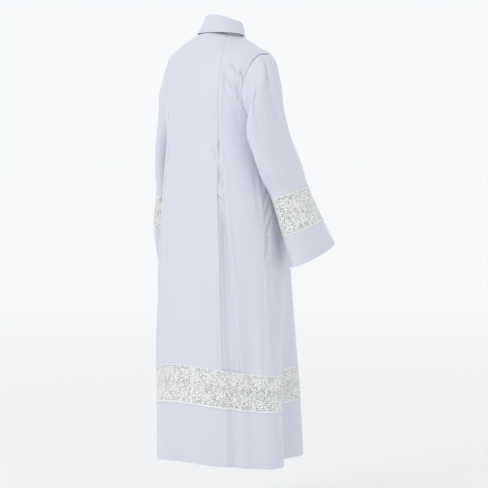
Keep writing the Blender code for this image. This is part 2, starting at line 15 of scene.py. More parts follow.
import bpy
import numpy as np
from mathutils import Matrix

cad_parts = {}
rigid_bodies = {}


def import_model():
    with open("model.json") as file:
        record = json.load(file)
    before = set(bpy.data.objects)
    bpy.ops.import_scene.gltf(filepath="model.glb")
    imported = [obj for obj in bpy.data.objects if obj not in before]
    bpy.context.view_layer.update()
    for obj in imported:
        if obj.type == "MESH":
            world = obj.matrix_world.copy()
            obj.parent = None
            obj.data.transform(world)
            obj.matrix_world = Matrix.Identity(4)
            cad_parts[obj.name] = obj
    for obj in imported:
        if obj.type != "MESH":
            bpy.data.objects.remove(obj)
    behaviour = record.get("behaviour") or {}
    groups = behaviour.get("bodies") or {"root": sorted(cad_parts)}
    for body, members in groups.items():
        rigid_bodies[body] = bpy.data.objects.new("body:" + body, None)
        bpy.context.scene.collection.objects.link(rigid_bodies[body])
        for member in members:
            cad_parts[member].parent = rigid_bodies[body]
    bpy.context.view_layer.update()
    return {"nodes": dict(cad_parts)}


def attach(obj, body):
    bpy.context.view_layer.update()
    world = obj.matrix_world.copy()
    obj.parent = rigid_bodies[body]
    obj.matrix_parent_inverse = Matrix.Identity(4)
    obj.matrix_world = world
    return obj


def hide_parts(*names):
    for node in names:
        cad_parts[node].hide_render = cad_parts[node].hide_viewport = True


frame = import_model()
print("nodes in the frame:", len(frame["nodes"]))

# %% [markdown]
# ## Camera
#
# The robe is seen from behind and from its wearer's right, at chest height and from nearly six
# metres away. A long lens keeps the hem and the collar at nearly the same scale.

# %% The camera
CAMERA_DISTANCE = 5.7
CAMERA_HEIGHT = -0.377
CAMERA_ROUND = math.radians(224)
CAMERA_TILT = math.radians(3.09)
CAMERA_TURN = math.radians(0.66)
SENSOR = 36.0
LENS = 127.7

camera = bpy.data.objects.new("camera", bpy.data.cameras.new("camera"))
bpy.context.scene.collection.objects.link(camera)
camera.data.sensor_width = SENSOR
camera.data.lens = LENS
camera.location = (CAMERA_DISTANCE * math.sin(CAMERA_ROUND),
                   -CAMERA_DISTANCE * math.cos(CAMERA_ROUND), CAMERA_HEIGHT)
camera.rotation_euler = (math.pi / 2 - CAMERA_TILT, 0, CAMERA_ROUND - CAMERA_TURN)
bpy.context.scene.camera = camera
print("camera at", [round(value, 2) for value in camera.location])

# %% [markdown]
# ## The form under the cloth
#
# Cloth that hangs from shoulders is easiest to describe as rings. Each row below is one level,
# from the neck seam to the hem, and a smooth curve runs through each column. An angle and a
# station then give any point: 0 degrees is the centre back, 90 the wearer's right.

# %% Tables and curves
def table(columns, rows):
    """Named columns of numbers, one array for each."""
    return dict(zip(columns, np.array(rows, float).T))


def hermite(start, slope_a, end, slope_b, share):
    """Cubic from start to end with the given slopes."""
    squared, cubed = share ** 2, share ** 3
    return (start * (2 * cubed - 3 * squared + 1) + slope_a * (cubed - 2 * squared + share)
            + end * (3 * squared - 2 * cubed) + slope_b * (cubed - squared))


def through(values, place):
    """Smooth curve through a column, read at places counted in rows."""
    last = len(values) - 1
    row = np.clip(np.floor(place).astype(int), 0, last - 1)
    before, start, end, after = [values[np.clip(row + step, 0, last)] for step in (-1, 0, 1, 2)]
    return hermite(start, (end - before) / 2, end, (after - start) / 2, place - row)


def ease(share):
    """Smooth step from 0 to 1."""
    share = np.clip(share, 0, 1)
    return share * share * (3 - 2 * share)


def bell(offset, half_span):
    """Soft bell: 1 in the middle and 0 from half_span outwards."""
    return np.where(np.abs(offset) < half_span, np.cos(np.pi / 2 * offset / half_span) ** 2, 0.0)


def turn_between(angle, other):
    """Signed difference of two angles in degrees."""
    return (angle - other + 180) % 360 - 180


def unit(vectors):
    """Vectors made one long."""
    return vectors / np.maximum(np.linalg.norm(vectors, axis=-1, keepdims=True), 1e-9)


# %% The body's rings
STATIONS = table(
    ("z_back", "z_right", "z_front", "z_left", "half_width", "back_y", "front_y"),
    [
        (0.012, -0.003, -0.036, -0.003, 0.068, 0.062, -0.066),   # 0 neck seam
        (-0.004, -0.020, -0.055, -0.013, 0.102, 0.094, -0.088),  # 1 foot of the neck
        (-0.035, -0.045, -0.088, -0.040, 0.151, 0.124, -0.108),  # 2 middle of the shoulder
        (-0.085, -0.068, -0.130, -0.067, 0.198, 0.150, -0.125),  # 3 shoulder tip
        (-0.160, -0.134, -0.195, -0.131, 0.209, 0.168, -0.140),  # 4 shoulder blade
        (-0.245, -0.230, -0.265, -0.230, 0.205, 0.172, -0.150),  # 5 under the blade
        (-0.335, -0.335, -0.335, -0.335, 0.200, 0.172, -0.158),  # 6 armpit
        (-0.490, -0.500, -0.500, -0.500, 0.214, 0.184, -0.170),  # 7 waist
        (-0.710, -0.730, -0.725, -0.735, 0.233, 0.195, -0.200),  # 8 hip
        (-0.927, -0.951, -0.942, -0.963, 0.242, 0.203, -0.222),  # 9 knee
        (-1.065, -1.098, -1.081, -1.121, 0.246, 0.206, -0.234),  # 10 top of the lace band
        (-1.189, -1.216, -1.192, -1.236, 0.249, 0.207, -0.242),  # 11 foot of the lace band
        (-1.380, -1.396, -1.388, -1.428, 0.252, 0.208, -0.255),  # 12 hem
    ])
NECK, SHOULDER_TIP, ARMPIT, WAIST, LACE_TOP, LACE_FOOT, HEM = 0, 3, 6, 7, 10, 11, 12
SIDE_SEAM, SHOULDER_SEAM, CENTRE_FRONT = 80.0, 90.0, 180.0
print("rings of the body:", len(STATIONS["z_back"]))

# %% The skirt's hanging folds
SKIRT_FOLDS = table(
    ("angle", "half_span", "depth", "start"),
    [
        (74, 17, 0.016, 6.8),      # ridge beside the right side seam
        (114, 30, -0.075, 6.6),    # deep hollow between side and front
        (149, 22, 0.014, 6.9),     # right front fold
        (180, 16, -0.030, 7.2),    # centre front hollow
        (211, 22, 0.024, 6.9),     # left front fold
        (246, 30, -0.060, 6.6),    # hollow between front and left side
        (287, 17, 0.014, 6.8),     # ridge beside the left side seam
        (8, 15, -0.006, 8.2),      # faint hollow beside the centre back
        (-18, 12, 0.005, 8.2),     # faint ridge left of the centre back
    ])
PLEAT_EDGES = table(
    ("station", "centre_edge", "side_edge"),
    [
        (0.00, 55.0, 55.0),
        (1.00, 47.0, 47.0),
        (2.00, 39.5, 39.5),
        (3.00, 34.0, 34.0),
        (4.00, 33.2, 33.2),
        (5.00, 33.6, 33.6),
        (6.00, 34.6, 34.6),
        (7.00, 34.0, 34.0),
        (7.12, 33.8, 34.0),
        (7.20, 33.8, 40.2),
        (8.00, 34.8, 44.2),
        (9.00, 36.0, 48.0),
        (10.0, 37.2, 51.4),
        (11.0, 37.8, 52.4),
        (12.0, 38.4, 53.4),
    ])
PLEAT_START, PLEAT_OPENING = 7.12, 0.5
PLEAT_DEPTH, LEFT_PLEAT_DEPTH = 0.013, 0.006


def pleat_edges(station):
    """Angles of a back pleat's two folded edges, on the wearer's right."""
    return [np.interp(station, PLEAT_EDGES["station"], PLEAT_EDGES[edge])
            for edge in ("centre_edge", "side_edge")]


def pleat_recess(angle, station):
    """How far the cloth between a pleat's edges lies back."""
    centre_edge, side_edge = pleat_edges(station)
    half_span = (side_edge - centre_edge) / 2
    turn = turn_between(angle, 0)
    offset = np.abs(turn) - (side_edge + centre_edge) / 2
    recess = np.where(turn > 0, PLEAT_DEPTH, LEFT_PLEAT_DEPTH) * bell(offset, np.maximum(half_span, 1))
    return np.where(half_span < 1, 0, recess * ease((station - PLEAT_START) / PLEAT_OPENING))


# %% A point of the body's form
def body_form(angle, station, inset=0.0):
    """Points of the robe's outer face at any angles and stations."""
    angle, station = np.broadcast_arrays(np.asarray(angle, float), np.asarray(station, float))
    turn = np.radians(angle)
    half_width, back_y, front_y = [through(STATIONS[key], station)
                                   for key in ("half_width", "back_y", "front_y")]
    half_depth, middle_y = (back_y - front_y) / 2, (back_y + front_y) / 2
    share = np.cos(turn) ** 2
    end = np.where(np.cos(turn) >= 0, through(STATIONS["z_back"], station),
                   through(STATIONS["z_front"], station))
    side = np.where(np.sin(turn) >= 0, through(STATIONS["z_right"], station),
                    through(STATIONS["z_left"], station))
    height = end * share + side * (1 - share)
    outward = unit(np.stack([-np.sin(turn) / half_width, np.cos(turn) / half_depth,
                             np.zeros_like(turn)], axis=-1))
    swell = -pleat_recess(angle, station) - inset
    for centre, half_span, depth, start in zip(*SKIRT_FOLDS.values()):
        growth = ease((station - start) / (HEM - start))
        swell = swell + depth * growth * bell(turn_between(angle, centre), half_span)
    foot = np.stack([-np.sin(turn) * half_width, middle_y + np.cos(turn) * half_depth, height], axis=-1)
    return foot + outward * swell[..., None]


print("hem at the centre back:", body_form(0, HEM).round(3))

# %% [markdown]
# ## Creases
#
# Satin shows every pull of a seam. A crease here is a short curved line on the cloth with a
# width and a depth, uneven from one to the next. A trough has a small swell on both sides,
# as the cloth that is pushed out of it has to go somewhere, and it fades at both ends.

# %% Creases of the body
CREASE_STEPS = 7
CREASE_FADE = 3.0
ONE_SIDED, SWELL_BESIDE = 0.25, 0.7
MM = 1000.0

BODY_CREASES = table(
    ("from_angle", "from_station", "to_angle", "to_station", "sway", "width_mm", "depth_mm"),
    [
        # drags below the right shoulder blade
        (39, 3.20, 52, 3.90, 2.0, 7, -4.2),
        (37, 3.55, 51, 4.50, -2.5, 7, -5.2),
        (52, 3.60, 59, 4.45, 2.5, 7, -5.4),
        (50, 4.20, 56, 4.90, 0.5, 13, -6.5),
        (38, 3.85, 45, 4.75, -1.5, 8, -3.8),
        (45, 3.70, 55, 4.05, 1.5, 9, 2.6),
        (46, 4.90, 58, 5.90, 1.0, 20, -2.4),
        # beside the right back seam
        (35.8, 3.40, 36.2, 5.90, 0, 7, 1.6),
        (32.0, 3.20, 32.4, 5.60, 0, 8, 1.0),
        (28, 6.15, 33.4, 6.60, 1.0, 8, -3.6),
        (30, 6.55, 33.6, 6.95, 0.5, 8, 2.2),
        (38.0, 6.20, 38.6, 6.90, 0, 7, 2.6),
        (34.7, 5.95, 35.0, 6.55, 0, 4, -6.0),
        (35.4, 6.50, 34.9, 7.12, 0.2, 3.2, -3.6),
        (36.6, 6.45, 39.7, 7.12, -0.4, 3.4, -3.8),
        (36.6, 6.70, 37.4, 7.08, 0, 5, 1.8),
        (41.0, 6.50, 43.5, 7.20, 0, 9, 2.4),
        # below the tack: the folded edges stand a little proud
        (42.4, 7.15, 48.6, 8.60, 0, 9, 3.6),
        (48.6, 8.40, 52.5, 10.3, 0, 11, 3.2),
        (31.6, 7.15, 33.0, 9.00, 0, 10, 1.8),
        # beside the right side seam and its pocket
        (78, 6.70, 78.2, 7.05, 0, 4, -3.2),
        (86, 6.96, 78, 7.26, 0.8, 7, -5.0),
        (87, 7.16, 77, 7.50, 0.8, 7, -5.4),
        (88, 7.38, 76, 7.74, 0.6, 8, -5.0),
        (84, 7.60, 75, 8.05, -0.6, 9, -4.2),
        (85, 6.80, 82, 7.10, 0, 8, 2.4),
        (74, 7.70, 75.5, 9.80, 0, 8, 2.0),
        (70, 6.60, 73, 7.60, 0, 12, -1.8),
        # faint pressed line across the back
        (0, 9.04, 28, 9.00, 0, 3, -0.9),
        # long soft waves of the back
        (-22, 4.00, -24, 9.50, 1.5, 34, 2.6),
        (-8, 5.00, -6, 11.0, -2, 30, -2.2),
        (14, 5.40, 12, 9.80, 1.5, 30, 2.0),
        (21, 7.20, 25, 11.6, 0, 22, -2.0),
        (56, 7.60, 60, 11.8, 1.0, 26, -3.0),
        (66, 8.20, 68, 11.8, 0, 14, 2.4),
        # left shoulder blade and seam
        (-38, 3.30, -52, 4.05, -2.0, 7, -3.8),
        (-37, 3.80, -49, 4.75, 2.0, 8, -4.6),
        (-53, 3.80, -59, 4.60, -1.5, 8, -4.4),
        (-49, 4.25, -55, 4.95, -0.5, 13, -5.0),
        (-35.8, 3.60, -36.2, 5.90, 0, 7, 1.4),
        (-28, 6.25, -33.4, 6.65, -1, 8, -3.2),
        (-34.7, 6.00, -35.0, 6.50, 0, 4, -5.0),
        (-35.4, 6.55, -34.9, 7.12, -0.2, 3.2, -3.2),
        (-36.6, 6.55, -39.7, 7.12, 0.4, 3.4, -3.2),
        (-42.4, 7.15, -48.0, 8.70, 0, 10, 3.2),
        (-47.8, 8.50, -52.0, 10.6, 0, 12, 3.0),
        (-79, 6.80, -79, 7.10, 0, 4, -3.2),
        (-87, 7.05, -80, 7.36, -0.8, 7, -4.0),
        (-88, 7.30, -79, 7.62, -0.8, 7, -4.2),
        (-58, 7.80, -61, 11.7, 0, 26, -2.8),
        # front
        (112, 2.20, 132, 4.20, 2, 10, -2.0),
        (100, 3.60, 118, 5.00, 3, 9, -2.8),
        (104, 4.60, 116, 5.80, 2, 9, -2.6),
        (150, 3.50, 146, 7.00, 2, 30, 2.4),
        (168, 6.20, 166, 10.8, -2, 20, 2.2),
        (128, 6.40, 124, 10.4, 2, 24, -2.6),
        (248, 2.20, 229, 4.10, -2, 10, -2.0),
        (259, 3.70, 243, 5.10, -3, 9, -2.6),
        (255, 4.80, 245, 5.90, -2, 9, -2.4),
        (212, 3.60, 215, 7.20, -2, 30, 2.2),
        (193, 6.40, 195, 10.9, 2, 20, 2.0),
        (232, 6.60, 236, 10.6, -2, 24, -2.4),
    ])


def crease_relief(creases, across, down, metres_across, metres_down):
    """Height that a table of creases adds at each point of a sheet.

    across and down are the sheet's own coordinates, and the two scales turn
    a step of each into metres.
    """
    relief = np.zeros(np.broadcast(across, down).shape)
    for row in zip(*creases.values()):
        start, start_down, end, end_down, sway, width, depth = row
        nearest, along, side = np.full(relief.shape, np.inf), np.zeros(relief.shape), np.zeros(relief.shape)
        steps = np.linspace(0, 1, CREASE_STEPS)
        line = start + (end - start) * steps + sway * 4 * steps * (1 - steps)
        fall = start_down + (end_down - start_down) * steps
        for index in range(CREASE_STEPS - 1):
            x = turn_between(across, line[index]) * metres_across
            y = (down - fall[index]) * metres_down
            run_x = (line[index + 1] - line[index]) * metres_across
            run_y = (fall[index + 1] - fall[index]) * metres_down
            share = np.clip((x * run_x + y * run_y) / (run_x ** 2 + run_y ** 2), 0, 1)
            distance = np.hypot(x - share * run_x, y - share * run_y)
            closer = distance < nearest
            nearest = np.where(closer, distance, nearest)
            along = np.where(closer, (index + share) / (CREASE_STEPS - 1), along)
            side = np.where(closer, np.sign(x * run_y - y * run_x), side)
        reach = nearest / (width / MM * (1 + ONE_SIDED * side))
        fade = ease(along * CREASE_FADE) * ease((1 - along) * CREASE_FADE)
        relief += depth / MM * fade * (1 - SWELL_BESIDE * reach ** 2) * np.exp(-reach ** 2)
    return relief


# %% Seams and joins of the body
SEAM_DIP, SEAM_REACH = 0.0007, 0.006
SEAM_TOP, SIDE_SEAM_TOP, SEAM_FADE = 0.6, 5.5, 4
JOIN_LIFT, JOIN_REACH, JOIN_HALF = 0.0011, 0.0035, 0.002
PUCKER_PITCH, PUCKER_DEPTH, PUCKER_DRIFT, DRIFT_RATE = 0.021, 0.6, 1.7, 5.0
HALF_STEP, STEPS_PER_STATION = 0.05, 10
LEAST_DROP, MOST_DROP = 0.04, 0.25


def join_lift(distance):
    """Height of the thicker join beside the lace."""
    return JOIN_LIFT * np.exp(-((np.abs(distance) - JOIN_HALF) / JOIN_REACH) ** 2)


def body_relief(angle, station):
    """Creases, dips along the seams, and the thicker joins beside the lace."""
    angle, station = np.broadcast_arrays(np.asarray(angle, float), np.asarray(station, float))
    round_body = np.radians(through(STATIONS["half_width"], station))
    drop = (through(STATIONS["z_back"], station + HALF_STEP)
            - through(STATIONS["z_back"], station - HALF_STEP))
    down_body = np.clip(np.abs(drop) * STEPS_PER_STATION, LEAST_DROP, MOST_DROP)
    relief = crease_relief(BODY_CREASES, angle, station, round_body, down_body)
    turn = np.abs(turn_between(angle, 0))
    centre_edge, side_edge = pleat_edges(station)
    closed = ease((PLEAT_START - station) * SEAM_FADE + 1)
    pucker = 1 + PUCKER_DEPTH * np.sin(station * down_body.mean() / PUCKER_PITCH * 2 * math.pi
                                       + PUCKER_DRIFT * np.sin(station * DRIFT_RATE))
    for edge, amount in ((centre_edge, closed * ease(station - SEAM_TOP)),
                         (SIDE_SEAM, ease(station - SIDE_SEAM_TOP))):
        distance = (turn - edge) * round_body
        relief -= SEAM_DIP * amount * pucker * np.exp(-(distance / SEAM_REACH) ** 2)
    for join in (LACE_TOP, LACE_FOOT):
        relief += join_lift((station - join) * down_body)
    return relief


# %% A raised point and its normal
STEP_ACROSS, STEP_DOWN = 0.4, 0.015


def raised(form, relief, first, second, sign=1):
    """Points of a form lifted by its relief, with their outward normals."""
    across = form(first + STEP_ACROSS, second) - form(first - STEP_ACROSS, second)
    down = form(first, second + STEP_DOWN) - form(first, second - STEP_DOWN)
    normals = unit(np.cross(down, across)) * sign
    return form(first, second) + normals * relief(first, second)[..., None], normals


def body_surface(angle, station):
    """Points and normals of the finished body."""
    return raised(body_form, body_relief, np.asarray(angle, float), np.asarray(station, float))


print("deepest crease:", BODY_CREASES["depth_mm"].min(), "mm")

# %% [markdown]
# ## Cloth and lace materials
#
# The robe is satin: smooth, faintly lilac in its white, with a soft shine that runs along the
# warp. The lace is matt embroidery in a warmer white. Both need more than one flat colour, so
# a little node arithmetic mixes their tones. A small class lets that be written as sums.

# %% Writing nodes as sums
class Value:
    """One output of a node, which takes part in sums."""

    def __init__(self, board, socket):
        self.board = board
        self.socket = socket

    def sum(self, operation, first, second):
        return self.board.node("ShaderNodeMath", {"operation": operation}, {0: first, 1: second})

    def __add__(self, other):
        return self.sum("ADD", self, other)

    def __sub__(self, other):
        return self.sum("SUBTRACT", self, other)

    def __rsub__(self, other):
        return self.sum("SUBTRACT", other, self)

    def __mul__(self, other):
        return self.sum("MULTIPLY", self, other)

    __radd__ = __add__
    __rmul__ = __mul__


class Board:
    """The node tree of one material."""

    def __init__(self, name, **plain):
        self.material = bpy.data.materials.new(name)
        self.material.use_nodes = True
        self.tree = self.material.node_tree
        self.shader = self.tree.nodes["Principled BSDF"]
        for socket, value in plain.items():
            self.shader.inputs[socket.replace("_", " ")].default_value = value

    def put(self, socket, value):
        """Give a socket a link or a plain value."""
        if isinstance(value, Value):
            self.tree.links.new(value.socket, socket)
        else:
            socket.default_value = value

    def node(self, kind, settings, inputs, output=0):
        """Add a node: its settings first, then its sockets."""
        made = self.tree.nodes.new(kind)
        for key, value in settings.items():
            setattr(made, key, value)
        for key, value in inputs.items():
            self.put(made.inputs[key], value)
        return Value(self, made.outputs[output])

    def finish(self, **links):
        """Feed the shader and return the material."""
        for socket, value in links.items():
            self.put(self.shader.inputs[socket.replace("_", " ")], value)
        return self.material


# %% Nodes that both cloths use
def noise(board, where, scale, detail=2.0, stretch=(1, 1, 1)):
    """Soft noise from 0 to 1 on a vector."""
    laid = board.node("ShaderNodeMapping", {}, {"Vector": where, "Scale": stretch})
    return board.node("ShaderNodeTexNoise", {}, {"Vector": laid, "Scale": scale, "Detail": detail})


def blend(board, factor, first, second):
    """Mix two colours."""
    return board.node("ShaderNodeMix", {"data_type": "RGBA"}, {0: factor, 6: first, 7: second}, output=2)


def raise_by(board, height, distance, strength=1.0):
    """A Bump node's normal."""
    return board.node("ShaderNodeBump", {}, {"Height": height, "Distance": distance, "Strength": strength})


# %% Satin
SATIN_LIGHT = (0.632, 0.642, 0.722, 1)
SATIN_SHADE = (0.604, 0.616, 0.700, 1)


def make_satin():
    board = Board("satin", Sheen_Weight=0.25, Sheen_Roughness=0.45, Specular_IOR_Level=0.4)
    board.shader.inputs["Sheen Tint"].default_value = (0.93, 0.94, 1.0, 1)
    place = board.node("ShaderNodeTexCoord", {}, {}, output="Object")
    cloth = board.node("ShaderNodeUVMap", {"uv_map": "cloth"}, {})
    clouds = noise(board, place, 5.0, 3.0)
    warp = noise(board, cloth, 1.0, 1.0, stretch=(1400, 60, 1))
    weft = noise(board, cloth, 1.0, 1.0, stretch=(160, 1100, 1))
    crumple = noise(board, place, 26.0, 2.0)
    tone = clouds * 0.8 + warp * 0.2
    weave = warp * 0.6 + weft * 0.4
    normal = raise_by(board, weave * 0.00012 + crumple * 0.0012, 1.0, 0.55)
    return board.finish(Base_Color=blend(board, tone, SATIN_SHADE, SATIN_LIGHT),
                        Roughness=clouds * 0.10 + warp * 0.06 + 0.36, Normal=normal)


satin = make_satin()

# %% Lace thread and sewing thread
# Painted light and painted shade of one white thread: half of the lace's tone is random, half follows its
# raised work.
THREAD_LIGHT = (0.84, 0.84, 0.825, 1)
THREAD_SHADE = (0.71, 0.715, 0.705, 1)
SEWING_WHITE = (0.71, 0.72, 0.80, 1)


def make_lace():
    board = Board("lace_thread", Sheen_Weight=0.35, Sheen_Roughness=0.6, Specular_IOR_Level=0.3)
    cloth = board.node("ShaderNodeUVMap", {"uv_map": "cloth"}, {})
    work = board.node("ShaderNodeAttribute", {"attribute_name": "raised_work"}, {}, output="Fac")
    threads = noise(board, cloth, 1.0, 2.0, stretch=(900, 900, 1))
    twist = board.node("ShaderNodeTexWave", {"bands_direction": "DIAGONAL"},
                       {"Vector": cloth, "Scale": 260.0, "Distortion": 3.0, "Detail": 1.0}, output="Fac")
    # Half random thread tone, half painted: painted light on the raised motifs and painted shade on the low
    # bars between them.
    tone = threads * 0.5 + work * 0.5
    normal = raise_by(board, twist * 0.0002 + threads * 0.0002, 1.0, 0.8)
    return board.finish(Base_Color=blend(board, tone, THREAD_SHADE, THREAD_LIGHT),
                        Roughness=0.78 - work * 0.16, Normal=normal)


def make_sewing_thread():
    board = Board("sewing_thread", Sheen_Weight=0.2, Roughness=0.5)
    place = board.node("ShaderNodeTexCoord", {}, {}, output="Object")
    twist = noise(board, place, 1800.0)
    return board.finish(Base_Color=blend(board, twist, SATIN_SHADE, SEWING_WHITE),
                        Normal=raise_by(board, twist * 0.0002, 1.0, 0.6))


lace_thread = make_lace()
sewing_thread = make_sewing_thread()
print("nodes:", {material.name: len(material.node_tree.nodes) for material in (satin, lace_thread)})

# %% [markdown]
# ## Laying a sheet
#
# A panel is a grid of points on the form. Its edges roll inwards, as a seam allowance does, so
# that two panels meet in a soft groove. Solidify then gives the cloth its thickness on the
# inside. A cloth simulation would also hang it, but the folds here follow a real garment, and
# they are easier to place one by one than to coax out of a simulation.

# %% Rolled edges
SATIN_WALL = 0.0008
ROLL = [(0.11, 0.07), (0.18, 0.30), (0.14, 0.75), (-0.25, 1.15), (-2.2, 1.4)]
CLOSE_ROLL = [(0.04, 0.12), (0.02, 0.45), (-0.3, 0.9), (-2.0, 1.2)]
LAP = [(0.10, 0.25), (0.45, 0.90), (2.0, 1.7), (5.0, 2.4)]
HEM_TURN = [(0.35, 0.10), (0.60, 0.55), (0.45, 1.05), (-1.0, 1.45), (-9.0, 1.55), (-17.0, 1.6)]
EDGE_ROW = 0.0006
SMOOTH_BELOW = math.radians(70)
SIDES = {"top": (0, True), "foot": (0, False), "left": (1, True), "right": (1, False)}


def roll_edge(points, normals, side, profile, amount=1.0):
    """Add rows or columns past one edge that turn the cloth under; the profile is in mm."""
    axis, at_start = SIDES[side]
    if axis:
        points, normals = points.swapaxes(0, 1), normals.swapaxes(0, 1)
    if at_start:
        points, normals = points[::-1], normals[::-1]
    outward = unit(points[-1] - points[-2])
    extra = [points[-1] + (outward * over - normals[-1] * under) * amount / MM
             for over, under in profile]
    points = np.concatenate([points[:-1], [points[-1] - outward * EDGE_ROW], extra])
    normals = np.concatenate([normals, [normals[-1]] * len(profile)])
    if at_start:
        points, normals = points[::-1], normals[::-1]
    if axis:
        points, normals = points.swapaxes(0, 1), normals.swapaxes(0, 1)
    return points, normals


# %% From a grid to a piece of cloth
def in_scene(name, mesh, material):
    """Put a finished mesh into the scene as a piece that rides on the body."""
    mesh.materials.append(material)
    piece = bpy.data.objects.new(name, mesh)
    bpy.context.scene.collection.objects.link(piece)
    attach(piece, "root")
    return piece


def give_wall(piece, wall):
    """Solidify the sheet towards its inside and apply it."""
    bpy.ops.object.select_all(action="DESELECT")
    bpy.context.view_layer.objects.active = piece
    piece.select_set(True)
    bpy.ops.object.modifier_add(type="SOLIDIFY")
    solidify = piece.modifiers[-1]
    solidify.thickness = wall
    solidify.offset = -1
    solidify.use_even_offset = False
    bpy.ops.object.modifier_apply(modifier=solidify.name)
    bpy.ops.object.shade_smooth_by_angle(angle=SMOOTH_BELOW)


def lay_flat(mesh, flat):
    """Give each point of a mesh its place on the flat cloth, in metres."""
    layer = mesh.uv_layers.new(name="cloth")
    corner = np.empty(len(mesh.loops), int)
    mesh.loops.foreach_get("vertex_index", corner)
    layer.uv.foreach_set("vector", flat[corner].ravel())


def lengths(points, axis=0):
    """Distance run along a line, or along each row or column of a grid."""
    steps = np.linalg.norm(np.diff(points, axis=axis), axis=-1)
    start = np.zeros_like(np.take(steps, [0], axis=axis))
    return np.cumsum(np.concatenate([start, steps], axis=axis), axis=axis)


def grid_faces(points, normals, kept):
    """Four-cornered faces of a grid that look along its normals; kept columns are its own."""
    rows, columns = points.shape[:2]
    number = np.arange(rows * kept).reshape(rows, kept)
    left, right = number[:, :columns - 1], np.roll(number, -1, axis=1)[:, :columns - 1]
    faces = np.stack([left[:-1], left[1:], right[1:], right[:-1]], axis=-1).reshape(-1, 4)
    row, column = rows // 2, columns // 2
    facing = np.cross(points[row + 1, column] - points[row, column],
                      points[row, column + 1] - points[row, column])
    return faces[:, ::-1] if facing @ normals[row, column] < 0 else faces


def lay_sheet(node, points, normals, wall=SATIN_WALL, wrap=False, edges=()):
    name = node + "_cloth"
    if wrap:
        points = np.concatenate([points, points[:, :1]], axis=1)
        normals = np.concatenate([normals, normals[:, :1]], axis=1)
    runs, falls = lengths(points, 1), lengths(points, 0)
    cells = np.cross(points[1:, 1:] - points[:-1, :-1], points[1:, :-1] - points[:-1, 1:])
    area = float(np.linalg.norm(cells, axis=-1).sum() / 2)
    for side, profile, amount in edges:
        points, normals = roll_edge(points, normals, side, profile, amount)
    kept = points.shape[1] - 1 if wrap else points.shape[1]
    flat = np.stack([lengths(points, 1), lengths(points, 0)], axis=-1)[:, :kept]
    mesh = bpy.data.meshes.new(name)
    mesh.from_pydata(points[:, :kept].reshape(-1, 3).tolist(), [],
                     grid_faces(points, normals, kept).tolist())
    lay_flat(mesh, flat.reshape(-1, 2))
    mesh.validate()
    piece = in_scene(name, mesh, satin)
    give_wall(piece, wall)
    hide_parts(node)
    width, length = float(runs[:, -1].max()), float(falls[-1].max())
    area = min(area, width * length)
    print(f"{name}: {width:.3f} x {length:.3f} m, {area:.3f} m2, {len(mesh.polygons)} faces")


# %% [markdown]
# ## Panels of the body
#
# The back is cut in three: a centre panel and two sides, with an inverted pleat let into each
# seam from the waist down. The two fronts meet at the centre front. Above the armpit each
# panel is blended from its four edges: its inner seam, the neck and shoulder, the armhole, and
# the level of the armpit.

# %% The armhole
ARMHOLE_REACH, ARMHOLE_FULLNESS = 28.0, 0.8


def armhole(phi):
    """Angle and station on the armhole: phi 0 at the shoulder tip, 90 back, 180 armpit."""
    turn = np.radians(phi)
    drop = (1 - np.cos(turn)) / 2
    middle = SHOULDER_SEAM + (SIDE_SEAM - SHOULDER_SEAM) * drop
    reach = np.where(drop <= 0.5, np.abs(np.sin(turn)) ** ARMHOLE_FULLNESS, 1 - (2 * drop - 1) ** 2)
    return (middle - ARMHOLE_REACH * reach * np.sign(np.sin(turn)),
            SHOULDER_TIP + (ARMPIT - SHOULDER_TIP) * drop)


# %% Blending a panel from its edges
ROW_SAG, SAG_STATIONS = 0.45, 1.1
PANEL_ROWS_ABOVE, PANEL_ROWS_BELOW = 76, 124
ROW_CROWDING = 1.35


def corner_line(start, corner_share, across, end_station):
    """Angle and station along the neck seam and then the shoulder seam."""
    on_neck = across <= corner_share
    angle = np.where(on_neck, start + (SHOULDER_SEAM - start) * across / corner_share, SHOULDER_SEAM)
    station = np.where(on_neck, NECK, end_station * (across - corner_share) / (1 - corner_share))
    return angle, station


def panel_places(inner_edge, columns, neck_share, back):
    """Angles and stations of a panel's grid, from the neck and shoulder to the lace."""
    across = np.linspace(0, 1, columns + 1)[None, :]
    down = (np.linspace(0, 1, PANEL_ROWS_ABOVE + 1) ** ROW_CROWDING)[:, None]
    sign = 1 if back else -1
    right = armhole(sign * 180 * down)
    left = (inner_edge(ARMPIT * down), ARMPIT * down)
    top = corner_line(inner_edge(np.array(0.0)), neck_share, across, SHOULDER_TIP)
    sag = ROW_SAG * np.sin(np.pi * across)
    inner_foot = inner_edge(np.array(float(ARMPIT)))
    foot = (inner_foot + (SIDE_SEAM - inner_foot) * across, ARMPIT + sag)
    upper = []
    for axis in (0, 1):
        value = (1 - across) * left[axis] + across * right[axis]
        for edge, pull in ((top, (1 - down) ** 2), (foot, down ** 2)):
            straight = (1 - across) * edge[axis][:, :1] + across * edge[axis][:, -1:]
            value = value + pull * (edge[axis] - straight)
        upper.append(value)
    station = np.linspace(ARMPIT, LACE_TOP, PANEL_ROWS_BELOW + 1)[1:, None]
    start = inner_edge(station)
    fade = np.maximum(0, 1 - (station - ARMPIT) / SAG_STATIONS)
    lower = (start + (SIDE_SEAM - start) * across, station + sag * fade)
    return [np.concatenate([upper[axis], lower[axis]]) for axis in (0, 1)]


# %% The panels
CENTRE_COLUMNS, SIDE_COLUMNS, FRONT_COLUMNS = 52, 38, 60
BACK_NECK_SHARE, FRONT_NECK_SHARE = 0.25, 0.4286
SEAM_ROOM = 0.00022
SEAM_TURN, FOLD_TURN, FOLD_GROWTH = 0.6, 4, 3
ARMHOLE_ROLL = 0.4
LEFT_PLEAT_OPEN = 0.12


def draw_in(angle, station):
    """Turn the first and last columns of a panel back by the room that the rolled edges take."""
    reach = np.degrees(SEAM_ROOM / through(STATIONS["half_width"], station))
    angle = angle.copy()
    for edge, beside in ((0, 1), (-1, -2)):
        angle[:, edge] += reach[:, edge] * np.sign(angle[:, beside] - angle[:, edge])
    return angle


